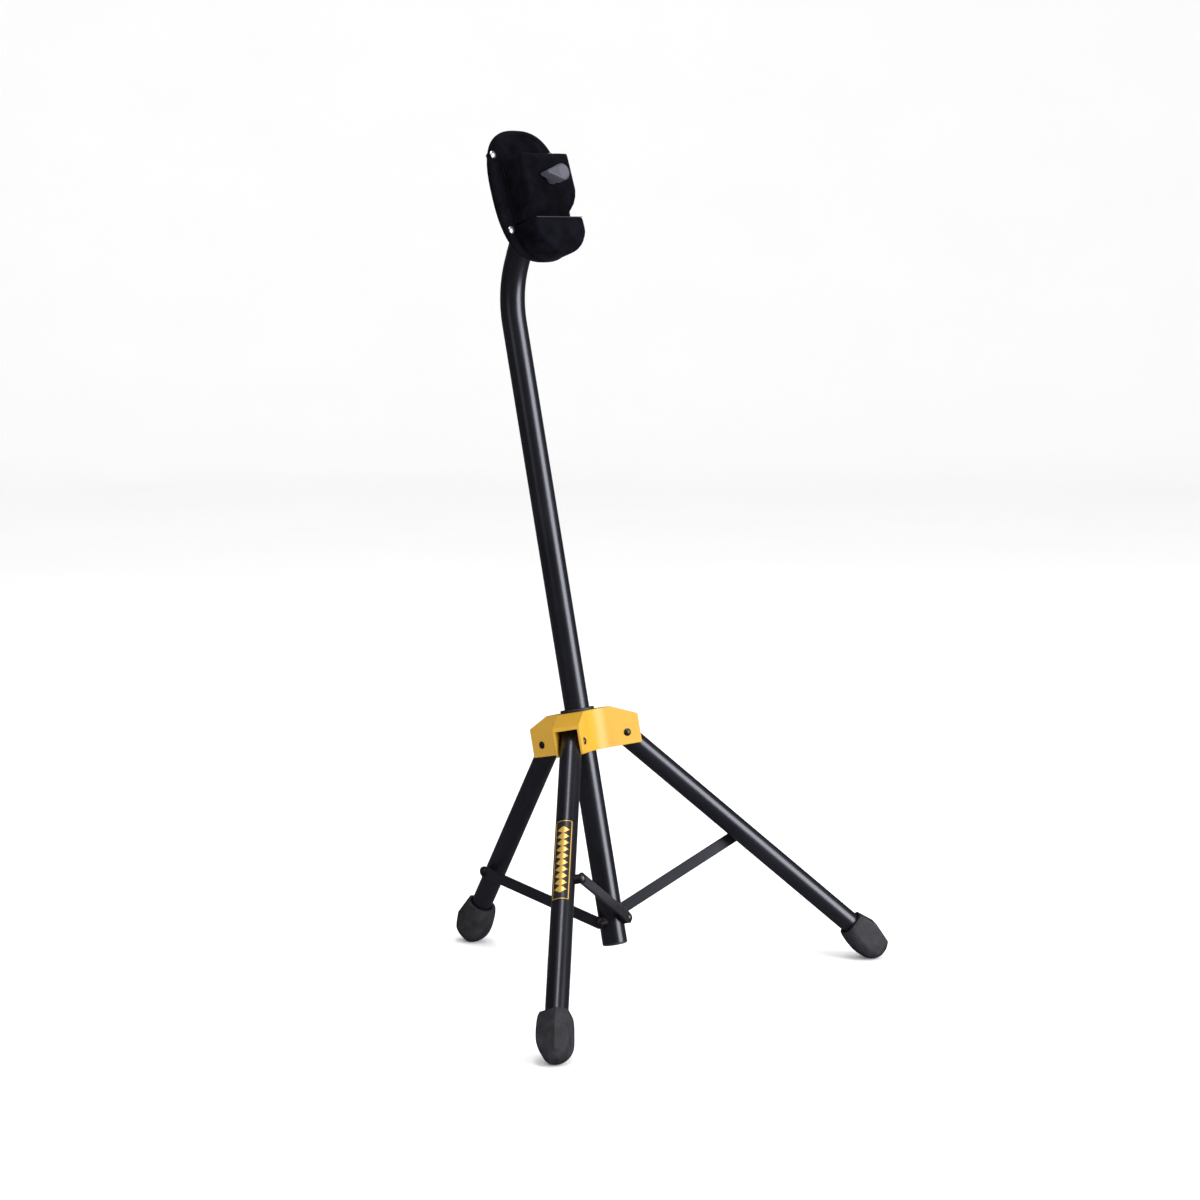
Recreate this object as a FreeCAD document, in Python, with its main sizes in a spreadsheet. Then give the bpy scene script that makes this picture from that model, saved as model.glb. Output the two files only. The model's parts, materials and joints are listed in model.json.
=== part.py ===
"""Folding tripod stand for a horn: a leaning mast with a velvet bell rest, on three folding legs.

Frame: millimetres, +Z up, -Y is the side that the horn hangs on, and the origin is on the floor at the
middle of the stand's footprint. Three further frames carry most of the pieces:
  mast frame   Z runs up the mast's axis, -Y faces the horn, origin level with the leg pivots
  leg frames   origin on a leg's pivot, Z up the leg, X out of its outer side, Y along the pivot pin
  head frame   origin at the middle of the rest's front, Z up the rest, +Y into its back
"""

import FreeCAD, Part
import math
import os
import re
import Sketcher
from FreeCAD import Placement, Rotation, Vector

SIZES = [
    # the stance
    ("mast_lean", 12.66, "mast from the vertical, deg"),
    ("foot_height", 19.0, "middle of each foot above the floor"),
    ("stance_setback", 12.67, "mast axis at pivot height, behind the middle of the footprint"),
    ("front_leg_azimuth", 60.0, "front legs either side of straight ahead, deg"),
    ("leg_open_angle", 41.65, "legs from the mast's axis when open, deg"),
    ("front_leg_length", 295.0, "pivot to the middle of the foot"),
    ("back_leg_length", 206.4, "pivot to the middle of the foot"),
    # the tubes
    ("mast_radius", 11.0, "outside"),
    ("mast_wall", 1.5, "steel tube wall"),
    ("mast_below_pivots", 180.0, "pivot level down to the tube's lower end"),
    ("bend_start", 372.0, "pivot level up to the start of the bend"),
    ("bend_radius", 94.0, "centre line of the bend"),
    ("bend_angle", 33.0, "turn towards the horn, deg"),
    ("mast_top_length", 27.0, "straight length after the bend"),
    ("leg_radius", 9.5, "outside"),
    ("leg_wall", 1.2, "steel tube wall"),
    ("leg_above_pivot", 11.0, "tube end past the pivot"),
    ("leg_in_foot", 8.0, "tube end past the middle of the foot"),
    # the yoke
    ("pivot_radius", 38.6, "leg pivots from the mast's axis"),
    ("yoke_top", 25.0, "above the pivots"),
    ("yoke_bottom", 10.5, "below the pivots"),
    ("yoke_arm_length", 50.6, "mast axis to the end of an arm"),
    ("yoke_arm_half", 12.0, "half the width of an arm"),
    ("yoke_sheet", 2.0, "steel sheet"),
    ("yoke_bend", 25.0, "outside radius between two arms"),
    ("bevel_start", 27.0, "where an arm's top starts to slope"),
    ("bevel_drop", 9.9, "fall of the slope at the arm's end"),
    ("mouth_height", 11.5, "top of the opening in the arm's end, above the pivots"),
    ("pin_radius", 2.5, "leg pivot pins"),
    ("pin_head", 3.4, "radius of the pins' domed heads"),
    ("bushing_wall", 2.15, "plastic sleeve between yoke and mast"),
    ("bushing_flange", 15.0, "radius of the sleeve's flange"),
    ("bushing_flange_rise", 2.6, "thickness of the flange"),
    ("running_gap", 0.05, "radial clearance of every running fit"),
    # the lock on the yoke
    ("lock_azimuth", 30.0, "anticlockwise from +X, deg"),
    ("lock_height", 7.0, "above the pivots"),
    ("lock_screw_radius", 3.0, "M6"),
    ("lock_knob_radius", 11.0, "over the lobes"),
    ("lock_knob_start", 25.0, "mast axis to the knob's inner face"),
    ("lock_knob_depth", 13.0, "along the screw"),
    # the braces
    ("brace_reach", 144.5, "leg pivot to brace pivot, along the leg"),
    ("brace_length", 144.5, "between a brace's two pivots"),
    ("brace_half", 5.0, "half the width of the flat bar"),
    ("brace_sheet", 2.5, "thickness of the bar"),
    ("brace_offset", 14.6, "leg axis to the bar's inner face"),
    ("rivet_radius", 2.5, "brace rivets"),
    ("rivet_head", 4.0, "radius of their domed heads"),
    ("rivet_rise", 2.0, "height of their domed heads"),
    ("stud_end", 11.1, "leg axis to the face of the leg's stud"),
    ("stud_tail", 3.6, "radius of the stud's flattened end inside the leg"),
    # the feet
    ("foot_before_middle", 20.8, "middle of the foot up to its collar"),
    ("foot_half", 13.2, "half the width"),
    ("foot_collar_gap", 1.0, "step round the leg in the collar"),
    ("foot_brow_down", 16.5, "collar to the point where the four facets meet"),
    ("foot_brow_out", 16.2, "that point from the leg's axis, outwards"),
    ("foot_brow_side", 4.0, "that point from the leg's axis, sideways"),
    # the rest at the top
    ("rest_forward", 46.0, "mast axis to the middle of the rest's front"),
    ("rest_height", 473.4, "pivot level to the middle of the rest's front"),
    ("rest_lean", 5.4, "rest from the mast's axis, deg"),
    ("rest_half_width", 44.6, "oval plate"),
    ("rest_half_height", 59.5, "oval plate"),
    ("oval_lift", 1.8, "middle of the oval above the middle of the rest"),
    ("rest_power", 2.6, "squareness of the oval: 2 is an ellipse"),
    ("pad_depth", 3.0, "velvet-covered pad in front of the plate"),
    ("plate_depth", 2.0, "steel plate"),
    ("plate_rivet_across", 36.0, "upper rivets either side of the middle"),
    ("plate_rivet_up", 38.0, "upper rivets above the middle"),
    ("plate_rivet_low_across", 34.8, "lower rivets either side of the middle"),
    ("plate_rivet_down", 29.6, "lower rivets below the middle"),
    ("plate_rivet_head", 3.5, "radius of the silver heads"),
    ("plate_rivet_shank", 2.0, "radius"),
    ("velvet", 1.5, "velvet and its backing"),
    ("block_half", 29.8, "half the width of the block and of the lip"),
    ("block_top", 32.0, "above the rest's middle"),
    ("block_front", 26.0, "block's front face ahead of the pad"),
    ("block_bulge_end", -2.0, "where the block's front starts to curve in"),
    ("notch_top", -18.0, "where the curve meets the notch's back wall"),
    ("notch_wall", 12.0, "notch's back wall ahead of the pad"),
    ("notch_bend", 22.0, "radius of the curve above the notch"),
    ("block_bottom", -25.2, "lower end of the sliding block"),
    ("lip_top", -25.7, "the lip's flat shelf"),
    ("lip_front", 26.8, "ahead of the pad"),
    ("lip_side_end", -38.0, "where the lip's sides give way to its arch"),
    ("lip_bottom", -59.0, "lowest point of the arch"),
    ("slide_travel", 20.0, "block's slide up the rest"),
    # the clamp
    ("clamp_up", 9.0, "clamp bolt above the rest's middle"),
    ("clamp_radius", 3.0, "M6"),
    ("clamp_end", 38.5, "bolt's end ahead of the pad"),
    ("clamp_head_half", 5.0, "half the bolt head across its flats"),
    ("clamp_head_depth", 4.0, "thickness of the bolt's head"),
    ("wing_tip", 20.0, "clamp axis to the wing's point"),
    ("wing_radius", 7.4, "round end of the wing"),
    ("wing_hub", 6.2, "radius of the round hub behind the wing"),
    ("wing_insert", 4.8, "radius of the threaded insert"),
    ("wing_start", 26.4, "hub's back face ahead of the pad"),
    ("wing_back", 33.5, "wing's back face ahead of the pad"),
    ("wing_end", 43.0, "wing's front face ahead of the pad"),
    ("wing_cap", 5.8, "radius of the cap disc"),
    # the bracket behind the plate
    ("bracket_half", 22.0, "half the width"),
    ("bracket_up", 41.0, "above the rest's middle"),
    ("bracket_down", 37.0, "below the rest's middle"),
    ("bracket_depth", 8.0, "body behind the plate"),
    ("neck_radius", 14.0, "between the body and the mast's end"),
    ("spigot_length", 28.0, "inside the mast's end"),
    ("top_screw_radius", 2.0, "screws through the mast's end into the spigot"),
    ("top_screw_head", 3.6, "radius of their domed heads"),
    ("screw_radius", 1.75, "wood screws behind the rest"),
    ("screw_head", 3.3, "radius of their heads"),
    # the badge
    ("badge_start", 89.0, "pivot to the badge's upper end"),
    ("badge_turn", 4.0, "round the leg from its outer side, deg"),
    ("badge_length", 80.0, "along the leg"),
    ("badge_half", 7.4, "half the width"),
    ("badge_depth", 0.3, "thickness"),
]

# a foot's cross-sections: below its collar, outer side, underside, half width, corner radius
FOOT_SECTIONS = [
    ("0", "13.9", "11.6", "(foot_half - 1.2)", "8"),
    ("7", "15.9", "13.8", "foot_half", "8"),
    ("16", "17.2", "15.6", "foot_half", "8"),
    ("26", "15.6", "15.6", "foot_half", "8"),
    ("33", "12.8", "13.8", "(foot_half - 1.8)", "8"),
    ("38", "8.6", "10.4", "(foot_half - 5)", "7"),
    ("41", "3.4", "5.4", "(foot_half - 9.5)", "3.2"),
]

# a foot's outer facets: turned round the leg from its outer side, and tilted up the leg, deg
FOOT_FACETS = [(-14, 11), (28, 11), (-14, -15), (28, -15)]

doc = FreeCAD.newDocument("HornStand")


def add_sheet():
    """One row per driving dimension: its name, its value and what it measures."""
    sheet = doc.addObject("Spreadsheet::Sheet", "Sizes")
    for row, (alias, value, meaning) in enumerate(SIZES, start=1):
        sheet.set(f"A{row}", alias)
        sheet.set(f"B{row}", str(value))
        sheet.set(f"C{row}", meaning)
        sheet.setAlias(f"B{row}", alias)
    doc.recompute()
    return sheet


SHEET = add_sheet()
ALIASES = {alias for alias, _, _ in SIZES}


def formula(text):
    """The formula with the sheet's name put in front of each of its dimensions."""
    return re.sub(r"[a-z_]+", lambda word: "Sizes." + word[0] if word[0] in ALIASES else word[0], str(text))


def value(text):
    """What a formula in the sheet's dimensions comes to."""
    result = SHEET.evalExpression(formula(text))
    return float(getattr(result, "Value", result))


def polar(radius, azimuth, height=0.0):
    angle = math.radians(azimuth)
    return Vector(radius * math.cos(angle), radius * math.sin(angle), height)


X_AXIS = Vector(1, 0, 0)
Y_AXIS = Vector(0, 1, 0)
Z_AXIS = Vector(0, 0, 1)
HERE = Placement()
ALONG_Y = Rotation(X_AXIS, -90)  # turns a primitive's Z onto +Y
ALONG_MINUS_Y = Rotation(X_AXIS, 90)
ALONG_X = Rotation(Y_AXIS, 90)


# ---- frames and the fold ------------------------------------------------------------------------------

# each leg's direction round the mast, anticlockwise from +X, deg
LEGS = {
    "front_left": -90 - value("front_leg_azimuth"),
    "front_right": value("front_leg_azimuth") - 90,
    "back": 90.0,
}
OPEN = math.radians(value("leg_open_angle"))
BRACE_OUT = value("pivot_radius") + value("brace_reach") * math.sin(OPEN)
BRACE_RISE = math.sqrt(value("brace_length") ** 2 - BRACE_OUT**2)
HUB_DEPTH = value("brace_reach") * math.cos(OPEN) + BRACE_RISE
BRACE_CLIMB = math.degrees(math.atan2(BRACE_RISE, BRACE_OUT))
MAST_END_FORWARD = "bend_radius * (1 - cos(bend_angle)) + mast_top_length * sin(bend_angle)"
MAST_END_HEIGHT = "bend_start + bend_radius * sin(bend_angle) + mast_top_length * cos(bend_angle)"


def pivot_height():
    """Floor to the leg pivots' centre on the mast's axis, set by the front legs' feet."""
    lean = math.radians(value("mast_lean"))
    out = value("pivot_radius") + value("front_leg_length") * math.sin(OPEN)
    down = value("front_leg_length") * math.cos(OPEN)
    forward = out * math.cos(math.radians(value("front_leg_azimuth")))
    return value("foot_height") + down * math.cos(lean) - forward * math.sin(lean)


MAST = Placement(Vector(0, value("stance_setback"), pivot_height()), Rotation(X_AXIS, -value("mast_lean")))
HEAD = MAST * Placement(
    Vector(0, -value("rest_forward"), value("rest_height")),
    Rotation(X_AXIS, -value("rest_lean")),
)


def leg_frame(side):
    turn = Rotation(Z_AXIS, LEGS[side]) * Rotation(Y_AXIS, -value("leg_open_angle"))
    return MAST * Placement(polar(value("pivot_radius"), LEGS[side]), turn)


def brace_frame(side):
    """Origin on the brace's pivot at the mast, X along the brace and Y along its rivets."""
    turn = Rotation(Z_AXIS, LEGS[side]) * Rotation(Y_AXIS, -BRACE_CLIMB)
    return MAST * Placement(Vector(0, 0, -HUB_DEPTH), turn)


def at(x, y, z, turn=HERE.Rotation):
    """A place given by formulas in the sheet's dimensions."""
    return Placement(Vector(value(x), value(y), value(z)), turn)


def lift(text):
    return at("0", "0", text)


def swing(side):
    """Turns +X onto a leg's direction round the mast."""
    return Placement(Vector(), Rotation(Z_AXIS, LEGS[side]))


def radial_frame(azimuth, height):
    """A frame on the mast's axis whose Z points out along an azimuth of the mast frame."""
    return Placement(Vector(0, 0, height), Rotation(Z_AXIS, azimuth) * ALONG_X)


def mast_end():
    """The tube's upper end in the mast frame, Z along the tube."""
    return at("0", f"-({MAST_END_FORWARD})", MAST_END_HEIGHT, Rotation(X_AXIS, value("bend_angle")))


def spigot_screw_places():
    """Both screws' places on the tube's axis in the mast frame, Z out of the tube's back."""
    middle = mast_end() * lift("-spigot_length / 2")
    return [middle * at("0", "0", f"{side} * spigot_length / 4", ALONG_Y) for side in (-1, 1)]


# ---- helpers ------------------------------------------------------------------------------------------


def add(kind, name, place=HERE, **sizes):
    """A document object whose properties are bound to formulas in the sheet's dimensions."""
    made = doc.addObject(kind, name)
    for key, text in sizes.items():
        made.setExpression(key, formula(text))
    made.Placement = place
    return made


def cylinder(name, radius, height, place=HERE, **more):
    return add("Part::Cylinder", name, place, Radius=radius, Height=height, **more)


def box(name, length, width, height, place=HERE):
    return add("Part::Box", name, place, Length=length, Width=width, Height=height)


def dome(name, radius, rise, place=HERE):
    """A spherical cap that stands on its flat base."""
    ball = f"(({radius})^2 + ({rise})^2) / (2 * ({rise}))"
    low = value(f"{ball} - ({rise})")
    lowered = place * Placement(Vector(0, 0, -low), Rotation())
    return add("Part::Sphere", name, lowered, Radius=ball, Angle1=f"asin(1 - ({rise}) / ({ball}))")


def join(name, *pieces):
    made = doc.addObject("Part::MultiFuse", name)
    made.Shapes = list(pieces)
    made.Refine = True
    return made


def group(name, pieces):
    """Separate solids of one kind under one name."""
    made = doc.addObject("Part::Compound", name)
    made.Links = list(pieces)
    return made


def less(name, base, *tools):
    """The base with every tool cut out of it."""
    made = doc.addObject("Part::Cut", name)
    made.Base = base
    made.Tool = tools[0] if len(tools) == 1 else join(name + "_cutters", *tools)
    made.Refine = True
    return made


def common(name, first, second):
    made = doc.addObject("Part::Common", name)
    made.Base = first
    made.Tool = second
    made.Refine = True
    return made


def origin_plane(body, role):
    return next(item for item in body.Origin.OriginFeatures if item.Role == role)


def bind_arc(sketch, index, start, end):
    """Binds an arc's radius, or for a half circle the middle of its ends, where its radius says nothing."""
    run = value(f"({end[0]}) - ({start[0]})")
    climb = value(f"({end[1]}) - ({start[1]})")
    if abs(math.hypot(run, climb) / 2 - abs(value(end[2]))) > 0.001:
        constraint = Sketcher.Constraint("Radius", index, abs(value(end[2])))
        text = f"abs({end[2]})"
    else:
        kind, side = ("DistanceX", 0) if abs(climb) > abs(run) else ("DistanceY", 1)
        text = f"(({start[side]}) + ({end[side]})) / 2"
        constraint = Sketcher.Constraint(kind, -1, 1, index, 3, value(text))
    sketch.renameConstraint(sketch.addConstraint(constraint), f"r{index}")
    sketch.setExpression(f"Constraints.r{index}", formula(text))


def draw(body, role, name, corners, offset="0"):
    """A closed outline on a plane of the body, its corners bound to formulas in the sheet's dimensions.

    A corner is (across, up), or (across, up, radius) where an arc leads to it. The arc's centre lies to
    the left of its path, or to the right for a negative radius.
    """
    sketch = body.newObject("Sketcher::SketchObject", name)
    sketch.AttachmentSupport = [(origin_plane(body, role), "")]
    sketch.MapMode = "FlatFace"
    sketch.setExpression("AttachmentOffset.Base.z", formula(offset))
    spots = [Vector(value(corner[0]), value(corner[1]), 0) for corner in corners]
    heads = []
    tails = []
    for index, corner in enumerate(corners):
        start, end = spots[index - 1], spots[index]
        if len(corner) == 2:
            sketch.addGeometry(Part.LineSegment(start, end))
            heads.append(1)
            tails.append(2)
            continue
        radius = value(corner[2])
        half = (end - start) * 0.5
        across = Vector(-half.y, half.x, 0).normalize()
        rise = math.sqrt(max(radius**2 - half.Length**2, 0.0))
        centre = start + half + across * (rise if radius > 0 else -rise)
        first, last = (start, end) if radius > 0 else (end, start)
        angles = [math.atan2(spot.y - centre.y, spot.x - centre.x) for spot in (first, last)]
        sketch.addGeometry(Part.ArcOfCircle(Part.Circle(centre, Z_AXIS, abs(radius)), *angles))
        heads.append(1 if radius > 0 else 2)
        tails.append(2 if radius > 0 else 1)
    for index in range(len(corners)):
        following = (index + 1) % len(corners)
        corner_spots = (index, tails[index], following, heads[following])
        sketch.addConstraint(Sketcher.Constraint("Coincident", *corner_spots))
    for index, corner in enumerate(corners):
        for letter, kind, text in (("x", "DistanceX", corner[0]), ("y", "DistanceY", corner[1])):
            number = sketch.addConstraint(
                Sketcher.Constraint(kind, -1, 1, index, tails[index], value(text))
            )
            sketch.renameConstraint(number, f"{letter}{index}")
            sketch.setExpression(f"Constraints.{letter}{index}", formula(text))
        if len(corner) == 3:
            bind_arc(sketch, index, corners[index - 1], corner)
    return sketch


def turned(name, corners):
    """A solid of revolution about Z from (radius, height) corners."""
    body = doc.addObject("PartDesign::Body", name)
    sketch = draw(body, "XZ_Plane", name + "_outline", corners)
    made = body.newObject("PartDesign::Revolution", name + "_turning")
    made.Profile = sketch
    made.ReferenceAxis = (sketch, ["V_Axis"])
    made.Angle = 360
    return body


def padded(name, role, corners, depth, offset="0"):
    """A body padded from an outline to both sides of its plane, or from an offset plane onwards."""
    body = doc.addObject("PartDesign::Body", name)
    made = body.newObject("PartDesign::Pad", name + "_pad")
    made.Profile = draw(body, role, name + "_outline", corners, offset)
    made.setExpression("Length", formula(depth))
    made.SideType = "Symmetric" if offset == "0" else "One side"
    doc.recompute()
    return body


def rounded(name, body, radius, pick):
    """Fillets the edges of a body that the test picks."""
    base = body.Tip
    edges = [f"Edge{number}" for number, edge in enumerate(base.Shape.Edges, start=1) if pick(edge)]
    made = body.newObject("PartDesign::Fillet", name + "_rounding")
    made.Base = (base, edges)
    made.Radius = radius
    doc.recompute()
    return body


def put(name, made, place=HERE):
    """Names a finished piece and sets it in its place."""
    made.Label = name
    made.Placement = place
    NODES[name] = made


NODES = {}


# ---- the mast -----------------------------------------------------------------------------------------


def hub_bar(name, side, radius, start, end):
    """A cylinder along a brace's rivet axis, in the mast frame."""
    place = radial_frame(LEGS[side] + 90, -HUB_DEPTH) * lift(start)
    return cylinder(name, radius, f"({end}) - ({start})", place)


def draw_mast_path(body):
    """The tube's centre line: straight up, round the bend towards the horn, and straight on."""
    path = body.newObject("Sketcher::SketchObject", "mast_path")
    path.AttachmentSupport = [(origin_plane(body, "YZ_Plane"), "")]
    path.MapMode = "FlatFace"
    bend = math.radians(value("bend_angle"))
    radius = value("bend_radius")
    bottom = Vector(0, -value("mast_below_pivots"), 0)
    start = Vector(0, value("bend_start"), 0)
    end = start + Vector(radius * (math.cos(bend) - 1), radius * math.sin(bend), 0)
    tip = Vector(-value(MAST_END_FORWARD), value(MAST_END_HEIGHT), 0)
    path.addGeometry(Part.LineSegment(bottom, start))
    path.addGeometry(Part.ArcOfCircle(Part.Circle(start - Vector(radius, 0, 0), Z_AXIS, radius), 0, bend))
    path.addGeometry(Part.LineSegment(end, tip))
    path.addConstraint(Sketcher.Constraint("Tangent", 0, 2, 1, 1))
    path.addConstraint(Sketcher.Constraint("Tangent", 1, 2, 2, 1))
    path.addConstraint(Sketcher.Constraint("PointOnObject", 0, 1, -2))
    path.addConstraint(Sketcher.Constraint("PointOnObject", 0, 2, -2))
    lengths = (
        ("bottom", ("DistanceY", 0, 1, -1, 1), "mast_below_pivots"),
        ("start", ("DistanceY", -1, 1, 0, 2), "bend_start"),
        ("bend", ("Radius", 1), "bend_radius"),
        ("top", ("Distance", 2), "mast_top_length"),
        ("forward", ("DistanceX", 2, 2, -1, 1), MAST_END_FORWARD),
    )
    for name, spot, text in lengths:
        constraint = Sketcher.Constraint(*spot, value(text))
        path.renameConstraint(path.addConstraint(constraint), name)
        path.setExpression(f"Constraints.{name}", formula(text))
    return path


def draw_mast_ring(body):
    """The tube's section at its lower end."""
    ring = body.newObject("Sketcher::SketchObject", "mast_ring")
    ring.AttachmentSupport = [(origin_plane(body, "XY_Plane"), "")]
    ring.MapMode = "FlatFace"
    ring.setExpression("AttachmentOffset.Base.z", formula("-mast_below_pivots"))
    for number, text in enumerate(("mast_radius", "mast_radius - mast_wall")):
        ring.addGeometry(Part.Circle(Vector(), Z_AXIS, value(text)))
        ring.addConstraint(Sketcher.Constraint("Coincident", number, 3, -1, 1))
        constraint = Sketcher.Constraint("Radius", number, value(text))
        ring.renameConstraint(ring.addConstraint(constraint), f"r{number}")
        ring.setExpression(f"Constraints.r{number}", formula(text))
    return ring


def build_mast_tube():
    body = doc.addObject("PartDesign::Body", "mast_pipe")
    path = draw_mast_path(body)
    ring = draw_mast_ring(body)
    doc.recompute()
    pipe = body.newObject("PartDesign::AdditivePipe", "mast_bending")
    pipe.Profile = ring
    pipe.Spine = (path, ["Edge1", "Edge2", "Edge3"])
    start = "mast_radius - 2 * mast_wall"
    end = "mast_radius + mast_wall"
    holes = [hub_bar(f"{side}_hub_drill", side, "rivet_radius", start, end) for side in LEGS]
    pilots = [
        cylinder(f"mast_top_drill_{index}", "top_screw_radius", "mast_radius", place)
        for index, place in enumerate(spigot_screw_places())
    ]
    put("mast_tube", less("mast_drilled", body, *holes, *pilots), MAST)


def build_mast_end_plug():
    inner = "mast_radius - mast_wall"
    bottom = "-mast_below_pivots"
    plug = turned(
        "mast_end_plug",
        [
            ("0", f"{bottom} - 2"),
            ("mast_radius - 1", f"{bottom} - 2"),
            ("mast_radius", f"{bottom} - 1", "1"),
            ("mast_radius", bottom),
            (inner, bottom),
            (inner, f"{bottom} + 9"),
            (f"{inner} - 1", f"{bottom} + 10"),
            ("0", f"{bottom} + 10"),
        ],
    )
    put("mast_end_plug", plug, MAST)


def build_hub_fasteners():
    """Rivets through the mast's wall with a spacer each, which the braces swing on."""
    rivets = []
    spacers = []
    under_head = "brace_offset + brace_sheet + running_gap"
    inside = "mast_radius - mast_wall"
    for side in LEGS:
        shank = hub_bar(f"{side}_hub_shank", side, "rivet_radius", f"{inside} - 2.5", f"{under_head} + 0.5")
        tail = hub_bar(f"{side}_hub_tail", side, "rivet_radius + 1", f"{inside} - 3", f"{inside} - 1.2")
        head_place = radial_frame(LEGS[side] + 90, -HUB_DEPTH) * lift(under_head)
        head = dome(f"{side}_hub_head", "rivet_head", "rivet_rise", head_place)
        rivets.append(join(f"{side}_hub_rivet", shank, tail, head))
        collar_end = "brace_offset - running_gap"
        collar = hub_bar(f"{side}_hub_collar", side, "rivet_head + 1", "mast_radius - 2", collar_end)
        bore = hub_bar(f"{side}_collar_bore", side, "rivet_radius", "mast_radius - 3", "brace_offset + 1")
        saddle_low = Placement(Vector(0, 0, -HUB_DEPTH - 30), Rotation())
        saddle = cylinder(f"{side}_collar_saddle", "mast_radius", "60", saddle_low)
        spacers.append(less(f"{side}_hub_spacer", collar, bore, saddle))
    put("brace_hub_rivets", group("hub_rivet_group", rivets), MAST)
    put("brace_hub_spacers", group("hub_spacer_group", spacers), MAST)


# ---- the yoke -----------------------------------------------------------------------------------------


def star(name, half, bend, length, bottom, top):
    """Three arms that meet in smooth bends round the mast: a prism from bottom to top."""
    bend_middle = "(yoke_arm_half + yoke_bend) / sin(60)"
    bend_level = "(yoke_arm_half + yoke_bend) / tan(60)"
    tall = f"({top}) - ({bottom})"
    arms = []
    bends = []
    for side in LEGS:
        arm_place = swing(side) * at("0", f"-({half})", bottom)
        arms.append(box(f"{name}_arm_{side}", length, f"2 * ({half})", tall, arm_place))
        between = Placement(Vector(), Rotation(Z_AXIS, 60)) * swing(side)
        bend_place = between * at(bend_middle, "0", f"({bottom}) - 1")
        bends.append(cylinder(f"{name}_bend_{side}", bend, f"{tall} + 2", bend_place))
    core = cylinder(f"{name}_core", f"sqrt(({bend_level})^2 + ({half})^2)", tall, lift(bottom))
    return less(f"{name}_star", join(f"{name}_solid", core, *arms), *bends)


def bevel_cutter(name, side, inset):
    """A block that takes the top off an arm along its slope, lowered by the sheet for the inside."""
    slope = math.degrees(math.atan2(value("bevel_drop"), value("yoke_arm_length - bevel_start")))
    start = swing(side) * at("bevel_start", "0", "yoke_top", Rotation(Y_AXIS, slope))
    lowered = Placement(Vector(-20 * (inset > 0), -20, -inset), Rotation())
    return box(f"{name}_bevel_{side}", "60", "40", "20", start * lowered)


def lock_frame():
    """Z out along the lock's screw, in the mast frame."""
    return radial_frame(value("lock_azimuth"), value("lock_height"))


def build_yoke():
    outer = star("yoke_outer", "yoke_arm_half", "yoke_bend", "yoke_arm_length", "-yoke_bottom", "yoke_top")
    outer = less("yoke_outer_cut", outer, *[bevel_cutter("yoke_outer", side, 0.0) for side in LEGS])
    inner = star(
        "yoke_inner",
        "yoke_arm_half - yoke_sheet",
        "yoke_bend + yoke_sheet",
        "yoke_arm_length - yoke_sheet",
        "-yoke_bottom - 1",
        "yoke_top - yoke_sheet",
    )
    sheet = value("yoke_sheet")
    inner = less("yoke_inner_cut", inner, *[bevel_cutter("yoke_inner", side, sheet) for side in LEGS])
    mouths = []
    pins = []
    for side in LEGS:
        mouth_low = at("yoke_arm_length - 2 * yoke_sheet", "yoke_sheet - yoke_arm_half", "-yoke_bottom - 1")
        mouth_width = "2 * (yoke_arm_half - yoke_sheet)"
        mouth_tall = "mouth_height + yoke_bottom + 1"
        mouth_place = swing(side) * mouth_low
        mouths.append(box(f"{side}_mouth", "4 * yoke_sheet", mouth_width, mouth_tall, mouth_place))
        across = at("pivot_radius", "-yoke_arm_half - 2", "0", ALONG_Y)
        pin_length = "2 * (yoke_arm_half + 2)"
        pins.append(cylinder(f"{side}_pin_drill", "pin_radius", pin_length, swing(side) * across))
    bushing_radius = "mast_radius + bushing_wall + running_gap"
    mast_hole = cylinder("yoke_mast_hole", bushing_radius, "20", lift("yoke_top - 10"))
    nut_seat = cylinder("yoke_nut_seat", "lock_screw_radius + 1", "20", lock_frame() * lift("10"))
    put("yoke", less("yoke_shell", outer, inner, *mouths, *pins, mast_hole, nut_seat), MAST)


def build_yoke_bushing():
    bore = "mast_radius + running_gap"
    wall = "mast_radius + bushing_wall + running_gap"
    sleeve = turned(
        "bushing_sleeve",
        [
            (bore, "2 - yoke_bottom"),
            (wall, "2 - yoke_bottom"),
            (wall, "yoke_top"),
            ("bushing_flange", "yoke_top"),
            ("bushing_flange", "yoke_top + bushing_flange_rise - 0.8"),
            ("bushing_flange - 0.8", "yoke_top + bushing_flange_rise", "0.8"),
            (bore, "yoke_top + bushing_flange_rise"),
        ],
    )
    window = cylinder("bushing_window", "lock_screw_radius + 0.4", "20", lock_frame() * lift("5"))
    put("yoke_bushing", less("bushing_drilled", sleeve, window), MAST)


def build_leg_pins():
    """Rivets through the yoke's arms that the legs turn on."""
    rivets = []
    for side in LEGS:
        near = swing(side) * at("pivot_radius", "-yoke_arm_half", "0", ALONG_MINUS_Y)
        far = swing(side) * at("pivot_radius", "yoke_arm_half", "0", ALONG_Y)
        between = "2 * yoke_arm_half"
        shank = cylinder(f"{side}_pin_shank", "pin_radius", between, near * lift(f"-{between}"))
        heads = [
            dome(f"{side}_pin_head_{end}", "pin_head", "pin_head / 2", place)
            for end, place in (("near", near), ("far", far))
        ]
        rivets.append(join(f"{side}_pin", shank, *heads))
    put("leg_pivot_pins", group("leg_pin_group", rivets), MAST)


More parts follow.
